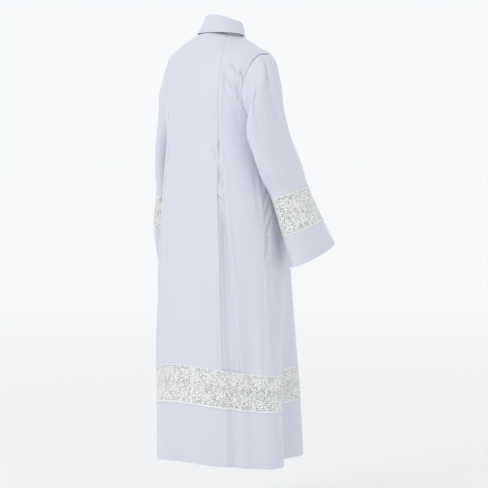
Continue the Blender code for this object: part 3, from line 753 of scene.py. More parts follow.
def body_panel(node, places, mirror, inner, outer):
    """Lay one panel of the body; inner and outer say how its side edges roll in."""
    angle, station = places
    angle = draw_in(angle, station)
    points, normals = body_surface(-angle if mirror else angle, station)
    lay_sheet(node, points, normals,
              edges=[("left", *inner), ("right", *outer), ("top", CLOSE_ROLL, 1)])


def fold_amount(station):
    """How deep a pleat's edge turns under: a seam above the tack and a fold below it."""
    return (SEAM_TURN + FOLD_TURN * ease((station - PLEAT_START) * FOLD_GROWTH))[:, None]


def flat_armhole(station):
    """How deep a panel's outer edge turns under: little at the armhole, more down the side."""
    return (ARMHOLE_ROLL + (1 - ARMHOLE_ROLL) * ease(station - ARMPIT))[:, None]


def centre_places():
    """The centre back between its two pleats."""
    share = np.linspace(-1, 1, CENTRE_COLUMNS + 1)[None, :]
    upper = ARMPIT * np.linspace(0, 1, PANEL_ROWS_ABOVE + 1) ** ROW_CROWDING
    station = np.concatenate([upper, np.linspace(ARMPIT, LACE_TOP, PANEL_ROWS_BELOW + 1)[1:]])[:, None]
    edge = pleat_edges(station)[0]
    return edge * share, station + 0 * share


def side_inner_edge(station, share):
    """Inner edge of a side panel: share 1 leaves the pleat as wide open as it is."""
    centre_edge, side_edge = pleat_edges(station)
    return centre_edge + (side_edge - centre_edge) * share


places = centre_places()
turned = fold_amount(places[1][:, 0])
body_panel("centre_back", places, False, (ROLL, turned), (ROLL, turned))
for side, mirror, share in (("right", False, 1.0), ("left", True, LEFT_PLEAT_OPEN)):
    places = panel_places(lambda station: side_inner_edge(station, share), SIDE_COLUMNS,
                          BACK_NECK_SHARE, True)
    body_panel("side_back_" + side, places, mirror, (ROLL, fold_amount(places[1][:, 0])),
               (CLOSE_ROLL, flat_armhole(places[1][:, -1])))
places = panel_places(lambda station: CENTRE_FRONT + 0 * station, FRONT_COLUMNS, FRONT_NECK_SHARE, False)
for side, mirror in (("right", False), ("left", True)):
    body_panel("front_" + side, places, mirror, (CLOSE_ROLL, 1),
               (CLOSE_ROLL, flat_armhole(places[1][:, -1])))

# %% The strips behind the pleats
UNDERLAY_ROWS, UNDERLAY_COLUMNS = 90, 16
UNDERLAY_LAP, UNDERLAY_LEAST = 3.0, 7.0
UNDERLAY_INSET, TACK_INSET = 0.0028, 0.0007

for side, sign in (("right", 1), ("left", -1)):
    station = np.linspace(WAIST, LACE_TOP, UNDERLAY_ROWS + 1)[:, None]
    centre_edge, side_edge = pleat_edges(station)
    side_edge = np.maximum(side_edge, centre_edge + UNDERLAY_LEAST)
    share = np.linspace(0, 1, UNDERLAY_COLUMNS + 1)[None, :]
    angle = sign * (centre_edge - UNDERLAY_LAP + (side_edge - centre_edge + 2 * UNDERLAY_LAP) * share)
    inset = UNDERLAY_INSET + TACK_INSET * (1 - ease((station - PLEAT_START) / PLEAT_OPENING))
    points = body_form(angle, station, inset)
    normals = body_surface(angle, station)[1]
    lay_sheet("pleat_underlay_" + side, points, normals)

# %% [markdown]
# ## Sleeves
#
# A bell sleeve hangs from the armhole, bends a little at the elbow and widens to its hem. Its
# head is pleated into the armhole, and one deep pleat runs down the outside. Each sleeve
# is again a stack of rings, and they lean: the first stands upright against the body,
# and the last lies level round the wrist.

# %% The sleeve's rings
SLEEVE_RINGS = table(
    ("out", "right_y", "left_y", "z", "in_out", "right_reach", "left_reach", "lean", "pitch"),
    [
        (0.2240, 0.0380, 0.0095, -0.2300, 0.1125, 0.0730, 0.0680, 81, 0),     # 1 head of the sleeve
        (0.2350, 0.0540, -0.0035, -0.2850, 0.0855, 0.0835, 0.0715, 72, 2),    # 2 upper arm
        (0.2470, 0.0365, -0.0135, -0.3600, 0.0525, 0.0850, 0.0825, 55, 5),    # 3 above the elbow
        (0.2600, 0.0050, -0.0235, -0.4425, 0.0425, 0.0880, 0.0840, 30, 9),    # 4 elbow
        (0.2655, -0.0280, -0.0310, -0.5100, 0.0450, 0.0755, 0.0785, 12, 13),  # 5 top of the sleeve lace
        (0.2860, -0.0670, -0.0455, -0.6220, 0.0480, 0.0855, 0.0850, 10, 17),  # 6 foot of the sleeve lace
        (0.2990, -0.1020, -0.0830, -0.7120, 0.0505, 0.0995, 0.0965, 10, 21),  # 7 cuff hem
    ])
SLEEVE_LACE_TOP, SLEEVE_LACE_FOOT, CUFF_HEM = 5, 6, 7
SLEEVE_LEAVING = np.array([-1.0, 0, -0.12])
STANDING_OFF = 0.35
ARMHOLE_GAP = 0.0003
HEAD_PLEAT_START = 0.35
FOLD_RISE, FOLD_FALL = 3, 2

SLEEVE_FOLDS = table(
    ("start_angle", "end_angle", "half_span", "depth", "start", "end"),
    [
        (2, -40, 17, -0.0075, 0.0, 3.2),    # deep pleat down the outside
        (24, 34, 13, -0.0045, 0.0, 1.6),    # short pleat at the head
        (46, 58, 16, -0.0050, 0.0, 3.6),    # soft trough down the back
        (86, 70, 30, -0.0060, 3.0, 5.6),    # elbow crease at the back
        (-95, -80, 36, -0.0060, 3.2, 5.6),  # elbow crook at the front
    ])


def ring_centre(ring, side):
    """Middle of each sleeve ring in an array of ring numbers, as on the right."""
    row = np.asarray(ring, int) - 1
    depth = SLEEVE_RINGS["right_y" if side > 0 else "left_y"]
    return np.stack([-SLEEVE_RINGS["out"][row], depth[row], SLEEVE_RINGS["z"][row]], axis=-1)


def sleeve_ring(ring, phi, side):
    """Points of one ring, drawn as on the right."""
    lean, pitch = [math.radians(SLEEVE_RINGS[key][ring - 1]) for key in ("lean", "pitch")]
    outward = np.array([-math.cos(lean), 0, math.sin(lean)])
    back = np.array([0, math.cos(pitch), -math.sin(pitch)])
    turn = np.radians(phi)[..., None]
    reach = SLEEVE_RINGS["right_reach" if side > 0 else "left_reach"][ring - 1]
    return (ring_centre(ring, side) + outward * SLEEVE_RINGS["in_out"][ring - 1] * np.cos(turn)
            + back * reach * np.sin(turn))


def armhole_line(phi):
    """The sleeve's edge, just inside the right armhole."""
    points = body_form(*armhole(phi))
    centre = (body_form(*armhole(0.0)) + body_form(*armhole(180.0))) / 2
    return points + unit(centre - points) * ARMHOLE_GAP - np.array([ARMHOLE_GAP, 0, 0])


def leaving(phi, straight):
    """Slope at the armhole: almost along the body's cloth at the back and front."""
    outward = raised(body_form, lambda angle, station: 0 * angle, *armhole(phi))[1]
    lift = (straight * outward).sum(axis=-1, keepdims=True)
    flush = unit(straight - outward * lift * (1 - STANDING_OFF))
    beside = np.sin(np.radians(phi))[..., None] ** 2
    slope = SLEEVE_LEAVING * (1 - beside) + flush * beside
    return unit(slope) * np.linalg.norm(straight, axis=-1, keepdims=True)


# %% A point of the sleeve's form
def sleeve_form(phi, step, side):
    """Points of a sleeve: step 0 is the armhole and whole steps are the rings."""
    phi, step = np.broadcast_arrays(np.asarray(phi, float), np.asarray(step, float))
    phi = turn_between(phi, 0)
    rings = np.stack([armhole_line(phi)] + [sleeve_ring(number, phi, side)
                                            for number in range(1, CUFF_HEM + 1)])
    ring = np.clip(np.floor(step).astype(int), 0, CUFF_HEM - 1)
    before, start, end, after = [
        np.take_along_axis(rings, np.clip(ring + move, 0, CUFF_HEM)[None, ..., None], axis=0)[0]
        for move in (-1, 0, 1, 2)]
    slope = np.where(ring[..., None] == 0, leaving(phi, end - start), (end - before) / 2)
    points = hermite(start, slope, end, (after - start) / 2, (step - ring)[..., None])
    depth = np.zeros(phi.shape)
    for start_angle, end_angle, half_span, deep, first, last in zip(*SLEEVE_FOLDS.values()):
        along = (step - first) / (last - first)
        angle = start_angle + (end_angle - start_angle) * along
        rise = ease(HEAD_PLEAT_START + step) if first == 0 else ease(along * FOLD_RISE)
        rise = np.where((along >= 0) & (along <= 1), rise * ease((1 - along) * FOLD_FALL), 0)
        depth = depth + deep * rise * bell(turn_between(phi, angle), half_span)
    low = np.clip(np.floor(step).astype(int), 1, CUFF_HEM - 1)
    share = np.clip(step - low, 0, 1)[..., None]
    middle = ring_centre(low, side) * (1 - share) + ring_centre(low + 1, side) * share
    points = points + unit(points - middle) * depth[..., None]
    return points * np.array([side, 1, 1])


# %% Creases of the sleeves
SLEEVE_COLUMNS = ("from_angle", "from_step", "to_angle", "to_step", "sway", "width_mm", "depth_mm")
RIGHT_SLEEVE_CREASES = table(SLEEVE_COLUMNS, [
    (17, -0.05, 6, 1.90, 0, 11, -6.0),
    (13, 0.25, -8, 3.40, 0, 12, -6.0),
    (-6, -0.20, -10, 2.20, 0, 11, 2.4),
    (36, -0.15, 39, 0.55, 0, 5, -3.2),
    (22, -0.10, 27, 0.60, 0, 8, 2.4),
    (50, 0.20, 55, 2.40, 2, 10, -3.4),
    (30, 0.80, 24, 3.20, 0, 12, 2.2),
    (-22, -0.10, -26, 0.90, 0, 6, -3.0),
    (-48, -0.10, -58, 0.80, 0, 6, -2.6),
    (96, 2.70, 60, 4.00, 4, 9, -2.6),
    (110, 3.30, 66, 4.60, -3, 9, -3.0),
    (36, 3.40, 34, 4.95, 1, 12, -1.8),
    (-18, 3.40, -18, 4.90, 1, 12, -1.6),
    (-70, 3.10, -110, 3.90, 3, 9, -3.4),
    (-64, 3.60, -112, 4.30, 3, 9, -3.2),
    (70, 5.80, 74, 7.10, 0, 14, -1.8),
    (8, 5.60, 4, 7.10, 0, 14, 1.6),
])
LEFT_SLEEVE_CREASES = table(SLEEVE_COLUMNS, [
    (14, -0.05, 2, 1.90, 0, 11, -5.5),
    (9, 0.25, -12, 3.30, 0, 12, -5.5),
    (34, -0.15, 38, 0.60, 0, 5, -3.0),
    (48, 0.10, 58, 2.60, 1, 11, -2.4),
    (26, 0.70, 22, 3.00, 0, 12, 2.0),
    (-24, -0.10, -29, 0.80, 0, 6, -2.8),
    (-50, -0.10, -56, 0.90, 0, 6, -2.4),
    (90, 2.80, 58, 4.10, 3, 10, -2.8),
    (104, 3.50, 70, 4.70, -3, 9, -2.6),
    (-68, 3.20, -106, 3.80, 3, 9, -3.2),
    (-60, 3.70, -110, 4.40, 3, 10, -3.0),
    (28, 3.60, 22, 4.95, 1, 12, -1.6),
    (60, 5.70, 66, 7.10, 0, 14, -1.6),
    (-30, 5.80, -34, 7.10, 0, 14, 1.4),
])
METRES_PER_DEGREE, METRES_PER_STEP = 0.00155, 0.088


def sleeve_surface(phi, step, side):
    """Points and normals of a finished sleeve."""
    creases = RIGHT_SLEEVE_CREASES if side > 0 else LEFT_SLEEVE_CREASES

    def relief(angle, place):
        height = crease_relief(creases, angle, place, METRES_PER_DEGREE, METRES_PER_STEP)
        for join in (SLEEVE_LACE_TOP, SLEEVE_LACE_FOOT):
            height = height + join_lift((place - join) * METRES_PER_STEP)
        seam = np.exp(-(turn_between(angle, 180) * METRES_PER_DEGREE / SEAM_REACH) ** 2)
        return height - SEAM_DIP * seam

    return raised(lambda angle, place: sleeve_form(angle, place, side), relief,
                  np.asarray(phi, float), np.asarray(step, float), -side)


# %% Laying the sleeves and cuffs
SLEEVE_COLUMN_COUNT = 92
SLEEVE_ROWS, CUFF_ROWS = 112, 20
SLEEVE_CROWDING = 1.15

for name, side in (("right", 1), ("left", -1)):
    phi = np.linspace(-180, 180, SLEEVE_COLUMN_COUNT + 1)[None, :-1]
    steps = SLEEVE_LACE_TOP * np.linspace(0, 1, SLEEVE_ROWS + 1)[:, None] ** SLEEVE_CROWDING
    points, normals = sleeve_surface(phi, steps, side)
    lay_sheet("sleeve_" + name, points, normals,
              wrap=True,
              edges=[("top", LAP, 1)])
    steps = np.linspace(SLEEVE_LACE_FOOT, CUFF_HEM, CUFF_ROWS + 1)[:, None]
    points, normals = sleeve_surface(phi, steps, side)
    lay_sheet("cuff_" + name, points, normals, wrap=True,
              edges=[("foot", HEM_TURN, 1)])

# %% [markdown]
# ## Hem band
#
# Below the lace the skirt goes on in plain cloth for a hand's length. Its hem is turned up
# inside, so its edge is rounded and twice as thick.

# %% The hem band
HEM_ROWS, HEM_BACK_COLUMNS, HEM_FRONT_COLUMNS = 28, 132, 144

for name, first, last, columns in (("back", -SIDE_SEAM, SIDE_SEAM, HEM_BACK_COLUMNS),
                                   ("front", SIDE_SEAM, 360 - SIDE_SEAM, HEM_FRONT_COLUMNS)):
    station = np.linspace(LACE_FOOT, HEM, HEM_ROWS + 1)[:, None]
    angle = np.linspace(first, last, columns + 1)[None, :] + 0 * station
    points, normals = body_surface(draw_in(angle, station + 0 * angle), station)
    lay_sheet("hem_band_" + name, points, normals,
              edges=[("left", ROLL, 1), ("right", ROLL, 1), ("foot", HEM_TURN, 1)])

# %% [markdown]
# ## Collar
#
# A shirt collar: a stand sewn to the neck seam, and a fall that rolls over it and comes down
# to just above the seam. It is stiffer than the rest, with a layer inside, so its wall is
# thicker and it shows only a dent or two.

# %% The collar
COLLAR = table(
    ("angle", "height", "flare", "edge_z"),
    [
        (0, 0.0500, 0.022, 0.006),
        (45, 0.0480, 0.025, 0.005),
        (75, 0.0450, 0.020, 0.002),
        (96, 0.0420, 0.013, -0.002),
        (126, 0.0365, 0.006, -0.010),
        (180, 0.0290, 0.004, -0.018),
    ])
COLLAR_WALL = 0.0014
STAND_END, FALL_END, FALL_LEAST_DROP = 179.6, 124.0, 0.006
COLLAR_LEAN, STAND_CLEARANCE, FLARE_CURVE = 0.006, 0.0009, 1.25
ROLL_OVER = np.array([(-0.0013, 0.0021), (0.0008, 0.0030), (0.0030, 0.0024), (0.0044, 0.0006)])
COLLAR_COLUMNS, STAND_ROWS, FALL_ROWS, ROLL_ROWS = 120, 10, 16, 8
COLLAR_METRES_PER_DEGREE, COLLAR_METRES_PER_SHARE = 0.0013, 0.04
COLLAR_CREASES = table(
    ("from_angle", "from_share", "to_angle", "to_share", "sway", "width_mm", "depth_mm"),
    [
        (66, 0.1, 74, 0.9, 2, 6, -1.6),
        (20, 0.3, 26, 1.1, 0, 10, 0.8),
        (-30, 0.0, -36, 0.9, 1, 8, -1.0),
        (98, 0.2, 104, 1.0, 0, 6, -1.2),
        (-95, 0.2, -100, 1.0, 0, 7, -1.2),
    ])


def collar_value(column, angle):
    """Read the collar's table at an angle on either side."""
    return np.interp(np.abs(turn_between(angle, 0)), COLLAR["angle"], COLLAR[column])


def stand_form(angle, share):
    """Outer face of the stand: share 0 on the neck seam and 1 at its top."""
    foot = body_form(angle, NECK + 0 * angle)
    outward = unit(foot * np.array([1, 1, 0]))
    rise = (STAND_CLEARANCE + collar_value("height", angle) * share)[..., None]
    return foot + rise * np.array([0, 0, 1]) - outward * COLLAR_LEAN * share[..., None]


def fall_form(angle, share):
    """Outer face of the fall: below 0 it rolls over the stand, and from 0 to 1 it comes down."""
    top = stand_form(angle, np.ones_like(share))
    foot = body_form(angle, NECK + 0 * angle)
    outward = unit(foot * np.array([1, 1, 0]))
    up = np.array([0, 0, 1])
    over, lift = [through(column, (share + 1) * (len(ROLL_OVER) - 1))[..., None]
                  for column in ROLL_OVER.T]
    rolled = top + outward * over + up * lift
    down = np.maximum(share, 0)[..., None]
    last_over, last_lift = ROLL_OVER[-1]
    drop = np.maximum(top[..., 2:] - collar_value("edge_z", angle)[..., None], FALL_LEAST_DROP)
    flare = collar_value("flare", angle)[..., None] * down ** FLARE_CURVE
    fallen = top + outward * (last_over + flare) + up * (last_lift - (drop + last_lift) * down)
    return np.where(share[..., None] < 0, rolled, fallen)


def collar_surface(form, angle, share):
    """Points and normals of a collar piece with its dents."""
    def relief(first, second):
        return crease_relief(COLLAR_CREASES, first, second, COLLAR_METRES_PER_DEGREE,
                             COLLAR_METRES_PER_SHARE)

    angle, share = np.broadcast_arrays(angle, share)
    return raised(form, relief, angle, share)


angle = np.linspace(-STAND_END, STAND_END, COLLAR_COLUMNS + 1)[None, :]
points, normals = collar_surface(stand_form, angle, np.linspace(1, 0, STAND_ROWS + 1)[:, None])
lay_sheet("collar_stand", points, -normals,
          wall=COLLAR_WALL)
angle = np.linspace(-FALL_END, FALL_END, COLLAR_COLUMNS + 1)[None, :]
share = np.concatenate([np.linspace(-1, 0, ROLL_ROWS + 1)[:-1], np.linspace(0, 1, FALL_ROWS + 1)])
points, normals = collar_surface(fall_form, angle, share[:, None])
lay_sheet("collar_fall", points, normals, wall=COLLAR_WALL,
          edges=[("foot", ROLL[:3], 1)])

# %% [markdown]
# ## Lace
#
# The bands are heavy embroidered lace: scrolls with leaves along them and small flowers, held
# together by a mesh of short bars. An image with a transparent background would be the quick
# way, but then the holes wouldn't be there from close by. Here the pattern is a field of
# distances to drawn strokes, and the sheet is cut where the field crosses zero.

# %% The lace's repeat
REPEAT_WIDTH, REPEAT_HEIGHT = 0.086, 0.060
SCROLL_POINTS, SCROLL_OPENING = 22, 0.8
LEAF_BELLY, PETAL_FULLNESS = 0.75, 0.36


def scroll(centre, inner, outer, turns, start, direction, thin, thick):
    """A spiral stroke as points with half widths, all in millimetres."""
    share = np.linspace(0, 1, SCROLL_POINTS)
    radius = inner + (outer - inner) * share ** SCROLL_OPENING
    turn = math.radians(start) + direction * share * turns * 2 * math.pi
    return np.stack([centre[0] + radius * np.cos(turn), centre[1] + radius * np.sin(turn),
                     thin + (thick - thin) * share], axis=-1)


STROKES = [
    scroll((23, 24), 3.5, 16, 1.55, 30, 1, 1.1, 1.5),
    scroll((64, 36), 3.0, 13, 1.45, 200, -1, 1.0, 1.4),
    scroll((46, 8), 2.0, 7, 1.1, 80, 1, 0.9, 1.1),
    scroll((43, 52), 2.0, 7, 1.1, -80, -1, 0.9, 1.1),
]
LEAVES = table(
    ("x", "y", "turn", "length", "half_width"),
    [
        (23, 40, 120, 11, 2.7),
        (11, 35, 165, 10, 2.5),
        (8, 20, 215, 11, 2.7),
        (18, 9, 265, 10, 2.4),
        (34, 13, 315, 10, 2.6),
        (38, 30, 20, 10, 2.5),
        (64, 49, 75, 9, 2.3),
        (76, 42, 25, 10, 2.5),
        (77, 28, 335, 9, 2.3),
        (67, 23, 280, 9, 2.4),
        (52, 27, 225, 9, 2.3),
        (51, 44, 150, 9, 2.3),
        (46, 16, 95, 8, 2.0),
        (43, 44, 270, 8, 2.0),
    ])
FLOWERS = table(("x", "y", "petals", "reach"),
                [(23, 24, 6, 5.2), (64, 36, 5, 4.8), (0, 52, 5, 4.6), (82, 6, 5, 4.4)])


def leaf_distance(x, y, turn, length, half_width):
    """Rough distance to a leaf that starts at the origin and points along turn."""
    along = x * math.cos(turn) + y * math.sin(turn)
    aside = np.abs(y * math.cos(turn) - x * math.sin(turn))
    share = np.clip(along / length, 0, 1)
    width = half_width * np.sin(np.pi * share ** LEAF_BELLY)
    return np.maximum(aside - width, np.maximum(-along, along - length))


def stroke_distance(x, y, stroke):
    """Distance to a polyline whose half width changes along it."""
    best = np.full(x.shape, np.inf)
    for (ax, ay, a_width), (bx, by, b_width) in zip(stroke, stroke[1:]):
        run_x, run_y = bx - ax, by - ay
        share = np.clip(((x - ax) * run_x + (y - ay) * run_y) / (run_x ** 2 + run_y ** 2), 0, 1)
        distance = np.hypot(x - ax - share * run_x, y - ay - share * run_y)
        best = np.minimum(best, distance - a_width - (b_width - a_width) * share)
    return best


def motif_distance(x, y):
    """Distance in millimetres to the scrolls, leaves and flowers of one repeat."""
    best = np.full(x.shape, np.inf)
    for stroke in STROKES:
        best = np.minimum(best, stroke_distance(x, y, stroke))
    for leaf_x, leaf_y, turn, length, half_width in zip(*LEAVES.values()):
        best = np.minimum(best, leaf_distance(x - leaf_x, y - leaf_y, math.radians(turn), length, half_width))
    for centre_x, centre_y, petals, reach in zip(*FLOWERS.values()):
        for petal in range(int(petals)):
            turn = 2 * math.pi * petal / petals
            best = np.minimum(best, leaf_distance(x - centre_x, y - centre_y, turn, reach,
                                                  reach * PETAL_FULLNESS))
    return best


# %% The field of the whole band
BAR_SPACING, BAR_HALF, BAR_SCATTER = 5.2, 0.86, 0.3
SELVEDGE = 0.0030


def wrapped_motif(u, v):
    """The motif's distance with its repeats beside, above and below, each row dropped by half."""
    width, height = REPEAT_WIDTH * MM, REPEAT_HEIGHT * MM
    row = np.floor(v * MM / height)
    best = np.full(u.shape, np.inf)
    for above in (-1, 0, 1):
        y = v * MM - (row + above) * height
        x = u * MM - (row + above) * width / 2
        x = x - np.floor(x / width) * width
        for beside in (-1, 0, 1):
            best = np.minimum(best, motif_distance(x - beside * width, y))
    return best


def bar_distance(u, v, seed):
    """Distance to the edges between scattered seeds: an uneven mesh of bars."""
    spread = np.random.default_rng(seed)
    columns = int(u.max() * MM / BAR_SPACING) + 4
    rows = int(v.max() * MM / BAR_SPACING) + 4
    jitter = spread.uniform(-BAR_SCATTER, BAR_SCATTER, (rows, columns, 2)) * BAR_SPACING
    x, y = u * MM, v * MM
    nearest = np.full((2,) + u.shape, np.inf)
    near_row = np.floor(y / BAR_SPACING).astype(int)
    near_column = np.floor(x / BAR_SPACING).astype(int)
    for step_row in (-1, 0, 1, 2):
        for step_column in (-1, 0, 1, 2):
            row, column = near_row + step_row + 1, near_column + step_column + 1
            seed_x = (column - 1 + 0.5 * (row % 2)) * BAR_SPACING + jitter[row, column, 0]
            seed_y = (row - 1) * BAR_SPACING + jitter[row, column, 1]
            distance = np.hypot(x - seed_x, y - seed_y)
            nearest[1] = np.minimum(nearest[1], np.maximum(distance, nearest[0]))
            nearest[0] = np.minimum(nearest[0], distance)
    return (nearest[1] - nearest[0]) / 2 - BAR_HALF


# %% Cutting the sheet along the field
CELL = 0.0019
LEAST_SHARE = 0.14
RAISED_WORK, RAISED_SLOPE_MM = 0.0007, 1.2
LACE_WALL = 0.0008
JOIN_STRIP = 0.0030


def band_field(width, height, seed, strips):
    """Grid the band: u and v, and the distances to the motif and to all that is thread.

    strips are (u at the top, u at the foot, half width) of solid joins down the band.
    """
    columns, rows = round(width / CELL), round(height / CELL)
    u, v = np.meshgrid(np.linspace(0, width, columns + 1), np.linspace(0, height, rows + 1))
    motif = wrapped_motif(u, v)
    field = np.minimum(motif, bar_distance(u, v, seed))
    edge = np.minimum.reduce([u, v, width - u, height - v])
    field = np.minimum(field, (edge - SELVEDGE) * MM)
    for top, foot, half in strips:
        line = top + (foot - top) * v / height
        field = np.minimum(field, (np.abs(u - line) - half) * MM)
    return u, v, motif, field


def cut_lace(width, height, seed, strips):
    """Corners (u, v, how far inside the motif) and faces of what lies inside the pattern."""
    u, v, motif, field = band_field(width, height, seed, strips)
    corners, faces, made = [], [], {}

    def grid_corner(row, column):
        key = (row, column)
        if key not in made:
            made[key] = len(corners)
            corners.append((u[row, column], v[row, column], -motif[row, column]))
        return made[key]

    def cut_corner(first, second):
        key = (first, second) if first < second else (second, first)
        if key not in made:
            (row_a, column_a), (row_b, column_b) = key
            a, b = field[row_a, column_a], field[row_b, column_b]
            share = min(max(a / (a - b), LEAST_SHARE), 1 - LEAST_SHARE)
            made[key] = len(corners)
            corners.append(tuple(
                grid[row_a, column_a] * (1 - share) + grid[row_b, column_b] * share
                for grid in (u, v, -motif)))
        return made[key]

    inside = field < 0
    kept = inside[:-1, :-1] | inside[1:, :-1] | inside[:-1, 1:] | inside[1:, 1:]
    for row, column in zip(*np.nonzero(kept)):
        around = [(row, column), (row + 1, column), (row + 1, column + 1), (row, column + 1)]
        face = []
        for index in range(4):
            here, following = around[index], around[(index + 1) % 4]
            if inside[here]:
                face.append(grid_corner(*here))
            if inside[here] != inside[following]:
                face.append(cut_corner(here, following))
        if len(face) > 2:
            faces.append(face)
    return np.array(corners), faces


def make_lace_band(name, nodes, form, surface, angles, levels, seed, joins=()):
    top, foot = levels
    run = lengths(form(angles, (top + foot) / 2))
    drop = form(angles, top) - form(angles, foot)
    width, height = float(run[-1]), float(np.linalg.norm(drop, axis=-1).mean())
    strips = [(*np.interp(joins, angles, run), JOIN_STRIP)] if joins else []
    corners, faces = cut_lace(width, height, seed, strips)
    points, normals = surface(np.interp(corners[:, 0], run, angles), top + corners[:, 1] / height)
    work = ease(corners[:, 2] / RAISED_SLOPE_MM)
    points = points + normals * (RAISED_WORK * work)[:, None]
    mesh = bpy.data.meshes.new(name)
    mesh.from_pydata(points.tolist(), [], faces)
    if np.array(mesh.polygons[0].normal) @ normals[faces[0][0]] < 0:
        mesh.flip_normals()
    mesh.attributes.new("raised_work", "FLOAT", "POINT").data.foreach_set("value", work)
    lay_flat(mesh, corners[:, :2])
    area = sum(polygon.area for polygon in mesh.polygons)
    piece = in_scene(name, mesh, lace_thread)
    give_wall(piece, LACE_WALL)
    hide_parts(*nodes)
    print(f"{name}: {width:.3f} x {height:.3f} m, {area / width / height:.2f} of it thread, "
          f"{len(mesh.polygons)} faces")


# %% Lace of the skirt
LACE_JOIN_ANGLES = (14.0, 10.0)
SKIRT_SAMPLES, SLEEVE_SAMPLES = 400, 300

for name, first, last, seed, joins, above in (
        ("back", -SIDE_SEAM, SIDE_SEAM, 3, LACE_JOIN_ANGLES, "centre_back_cloth"),
        ("front", SIDE_SEAM, 360 - SIDE_SEAM, 4, (), "front_right_cloth")):
    make_lace_band("skirt_lace_" + name + "_work", ["skirt_lace_" + name], body_form, body_surface,
                   np.linspace(first, last, SKIRT_SAMPLES), (LACE_TOP, LACE_FOOT), seed, joins)

# %% Lace of the sleeves
for name, side, seed in (("right", 1, 5), ("left", -1, 6)):
    nodes = ["sleeve_lace_" + name + "_" + part for part in ("back", "front")]
    make_lace_band("sleeve_lace_" + name, nodes, lambda phi, step: sleeve_form(phi, step, side),
                   lambda phi, step: sleeve_surface(phi, step, side),
                   np.linspace(-180, 180, SLEEVE_SAMPLES), (SLEEVE_LACE_TOP, SLEEVE_LACE_FOOT), seed)

# %% [markdown]
# ## Stitches
#
# Machine stitches hold the lace joins, the hems and the collar's edge. One stitch is modelled
# once, as a short cube that narrows to its top, and copied along each line into one mesh.

# %% One stitch and a row of them
STITCH_LENGTH, STITCH_PITCH, STITCH_WIDTH, STITCH_HEIGHT = 0.0026, 0.0036, 0.0006, 0.0004
STITCH_TOP_SHARE, STITCH_SEAT, LOOK_AHEAD = 0.7, 0.2, 0.001


def edit_all(tool, **settings):
    """Use one mesh tool on the whole of the active object."""
    bpy.ops.object.mode_set(mode="EDIT")
    bpy.ops.mesh.select_all(action="SELECT")
    tool(**settings)
    bpy.ops.object.mode_set(mode="OBJECT")


def model_stitch():
    """A stitch on the origin, along X, narrower at the top."""
    bpy.ops.object.select_all(action="DESELECT")
    bpy.ops.mesh.primitive_cube_add(size=1)
    stitch = bpy.context.object
    edit_all(bpy.ops.transform.resize, value=(STITCH_LENGTH, STITCH_WIDTH, STITCH_HEIGHT))
    points = np.array([vertex.co for vertex in stitch.data.vertices])
    faces = [list(polygon.vertices) for polygon in stitch.data.polygons]
    bpy.data.objects.remove(stitch, do_unlink=True)
    points[:, :2] *= np.where(points[:, 2:] > 0, STITCH_TOP_SHARE, 1)
    return points, faces


stitch_points, stitch_faces = model_stitch()


def read_line(places, run, values):
    """Points or normals of a line at distances along it."""
    return np.stack([np.interp(places, run, values[:, axis]) for axis in range(3)], axis=-1)


def stitch_row(points, normals):
    """Copies of the stitch along a line, at the machine's pitch."""
    run = lengths(points)
    places = np.arange(STITCH_PITCH, run[-1] - STITCH_PITCH, STITCH_PITCH)
    seats, ups = read_line(places, run, points), unit(read_line(places, run, normals))
    along = unit(read_line(places + LOOK_AHEAD, run, points) - seats)
    beside = np.cross(ups, along)
    local = stitch_points
    return (seats[:, None] + along[:, None] * local[None, :, :1] + beside[:, None] * local[None, :, 1:2]
            + ups[:, None] * (local[None, :, 2:] + STITCH_HEIGHT * STITCH_SEAT))


def sew(name, rows):
    """One mesh of all the stitches in some rows of (points, normals)."""
    copies = np.concatenate([stitch_row(points, normals) for points, normals in rows])
    size = len(stitch_points)
    faces = [[number * size + corner for corner in face]
             for number in range(len(copies)) for face in stitch_faces]
    mesh = bpy.data.meshes.new(name)
    mesh.from_pydata(copies.reshape(-1, 3).tolist(), [], faces)
    mesh.shade_smooth()
    in_scene(name, mesh, sewing_thread)
    print(f"{name}: {len(copies)} stitches")


# %% Stitches of the skirt, sleeves and collar
JOIN_STITCH, HEM_STITCH, COLLAR_STITCH = 0.0035, 0.018, 0.005
STATION_LENGTH = {LACE_TOP: 0.13, LACE_FOOT: 0.17, HEM: 0.17}
FALL_LENGTH, FALL_STITCH_END = 0.036, FALL_END - 2
SKIRT_LINE, SLEEVE_LINE, COLLAR_LINE = 1200, 500, 400

turns = np.linspace(0, 360, SKIRT_LINE)
skirt_rows = [body_surface(turns, station + offset / STATION_LENGTH[station])
              for station, offset in ((LACE_TOP, -JOIN_STITCH), (LACE_FOOT, JOIN_STITCH),
                                      (HEM, -HEM_STITCH))]
sew("skirt_stitches", skirt_rows)
for name, side in (("right", 1), ("left", -1)):
    turns = np.linspace(-180, 180, SLEEVE_LINE)
    sew("sleeve_stitches_" + name,
        [sleeve_surface(turns, step + offset / METRES_PER_STEP, side)
         for step, offset in ((SLEEVE_LACE_TOP, -JOIN_STITCH), (SLEEVE_LACE_FOOT, JOIN_STITCH),
                              (CUFF_HEM, -HEM_STITCH))])
turns = np.linspace(-FALL_STITCH_END, FALL_STITCH_END, COLLAR_LINE)
sew("collar_stitches", [collar_surface(fall_form, turns, 1 - COLLAR_STITCH / FALL_LENGTH + 0 * turns)])

# %% [markdown]
# ## Bar tacks
#
# A short bar of close stitches holds the top of each pleat shut, and another the foot of each
# side pocket.

# %% The tacks
TACK_THICKNESS, TACK_ROUNDING = 0.0018, 0.2
TACK_BREADTH, TACK_RISE = 1.4, 0.8
TACKS = table(("from_angle", "to_angle", "station"),
              [(33.8, 40.4, 7.13), (-40.4, -33.8, 7.13), (78.6, 81.8, 7.68), (-81.8, -78.6, 7.68)])


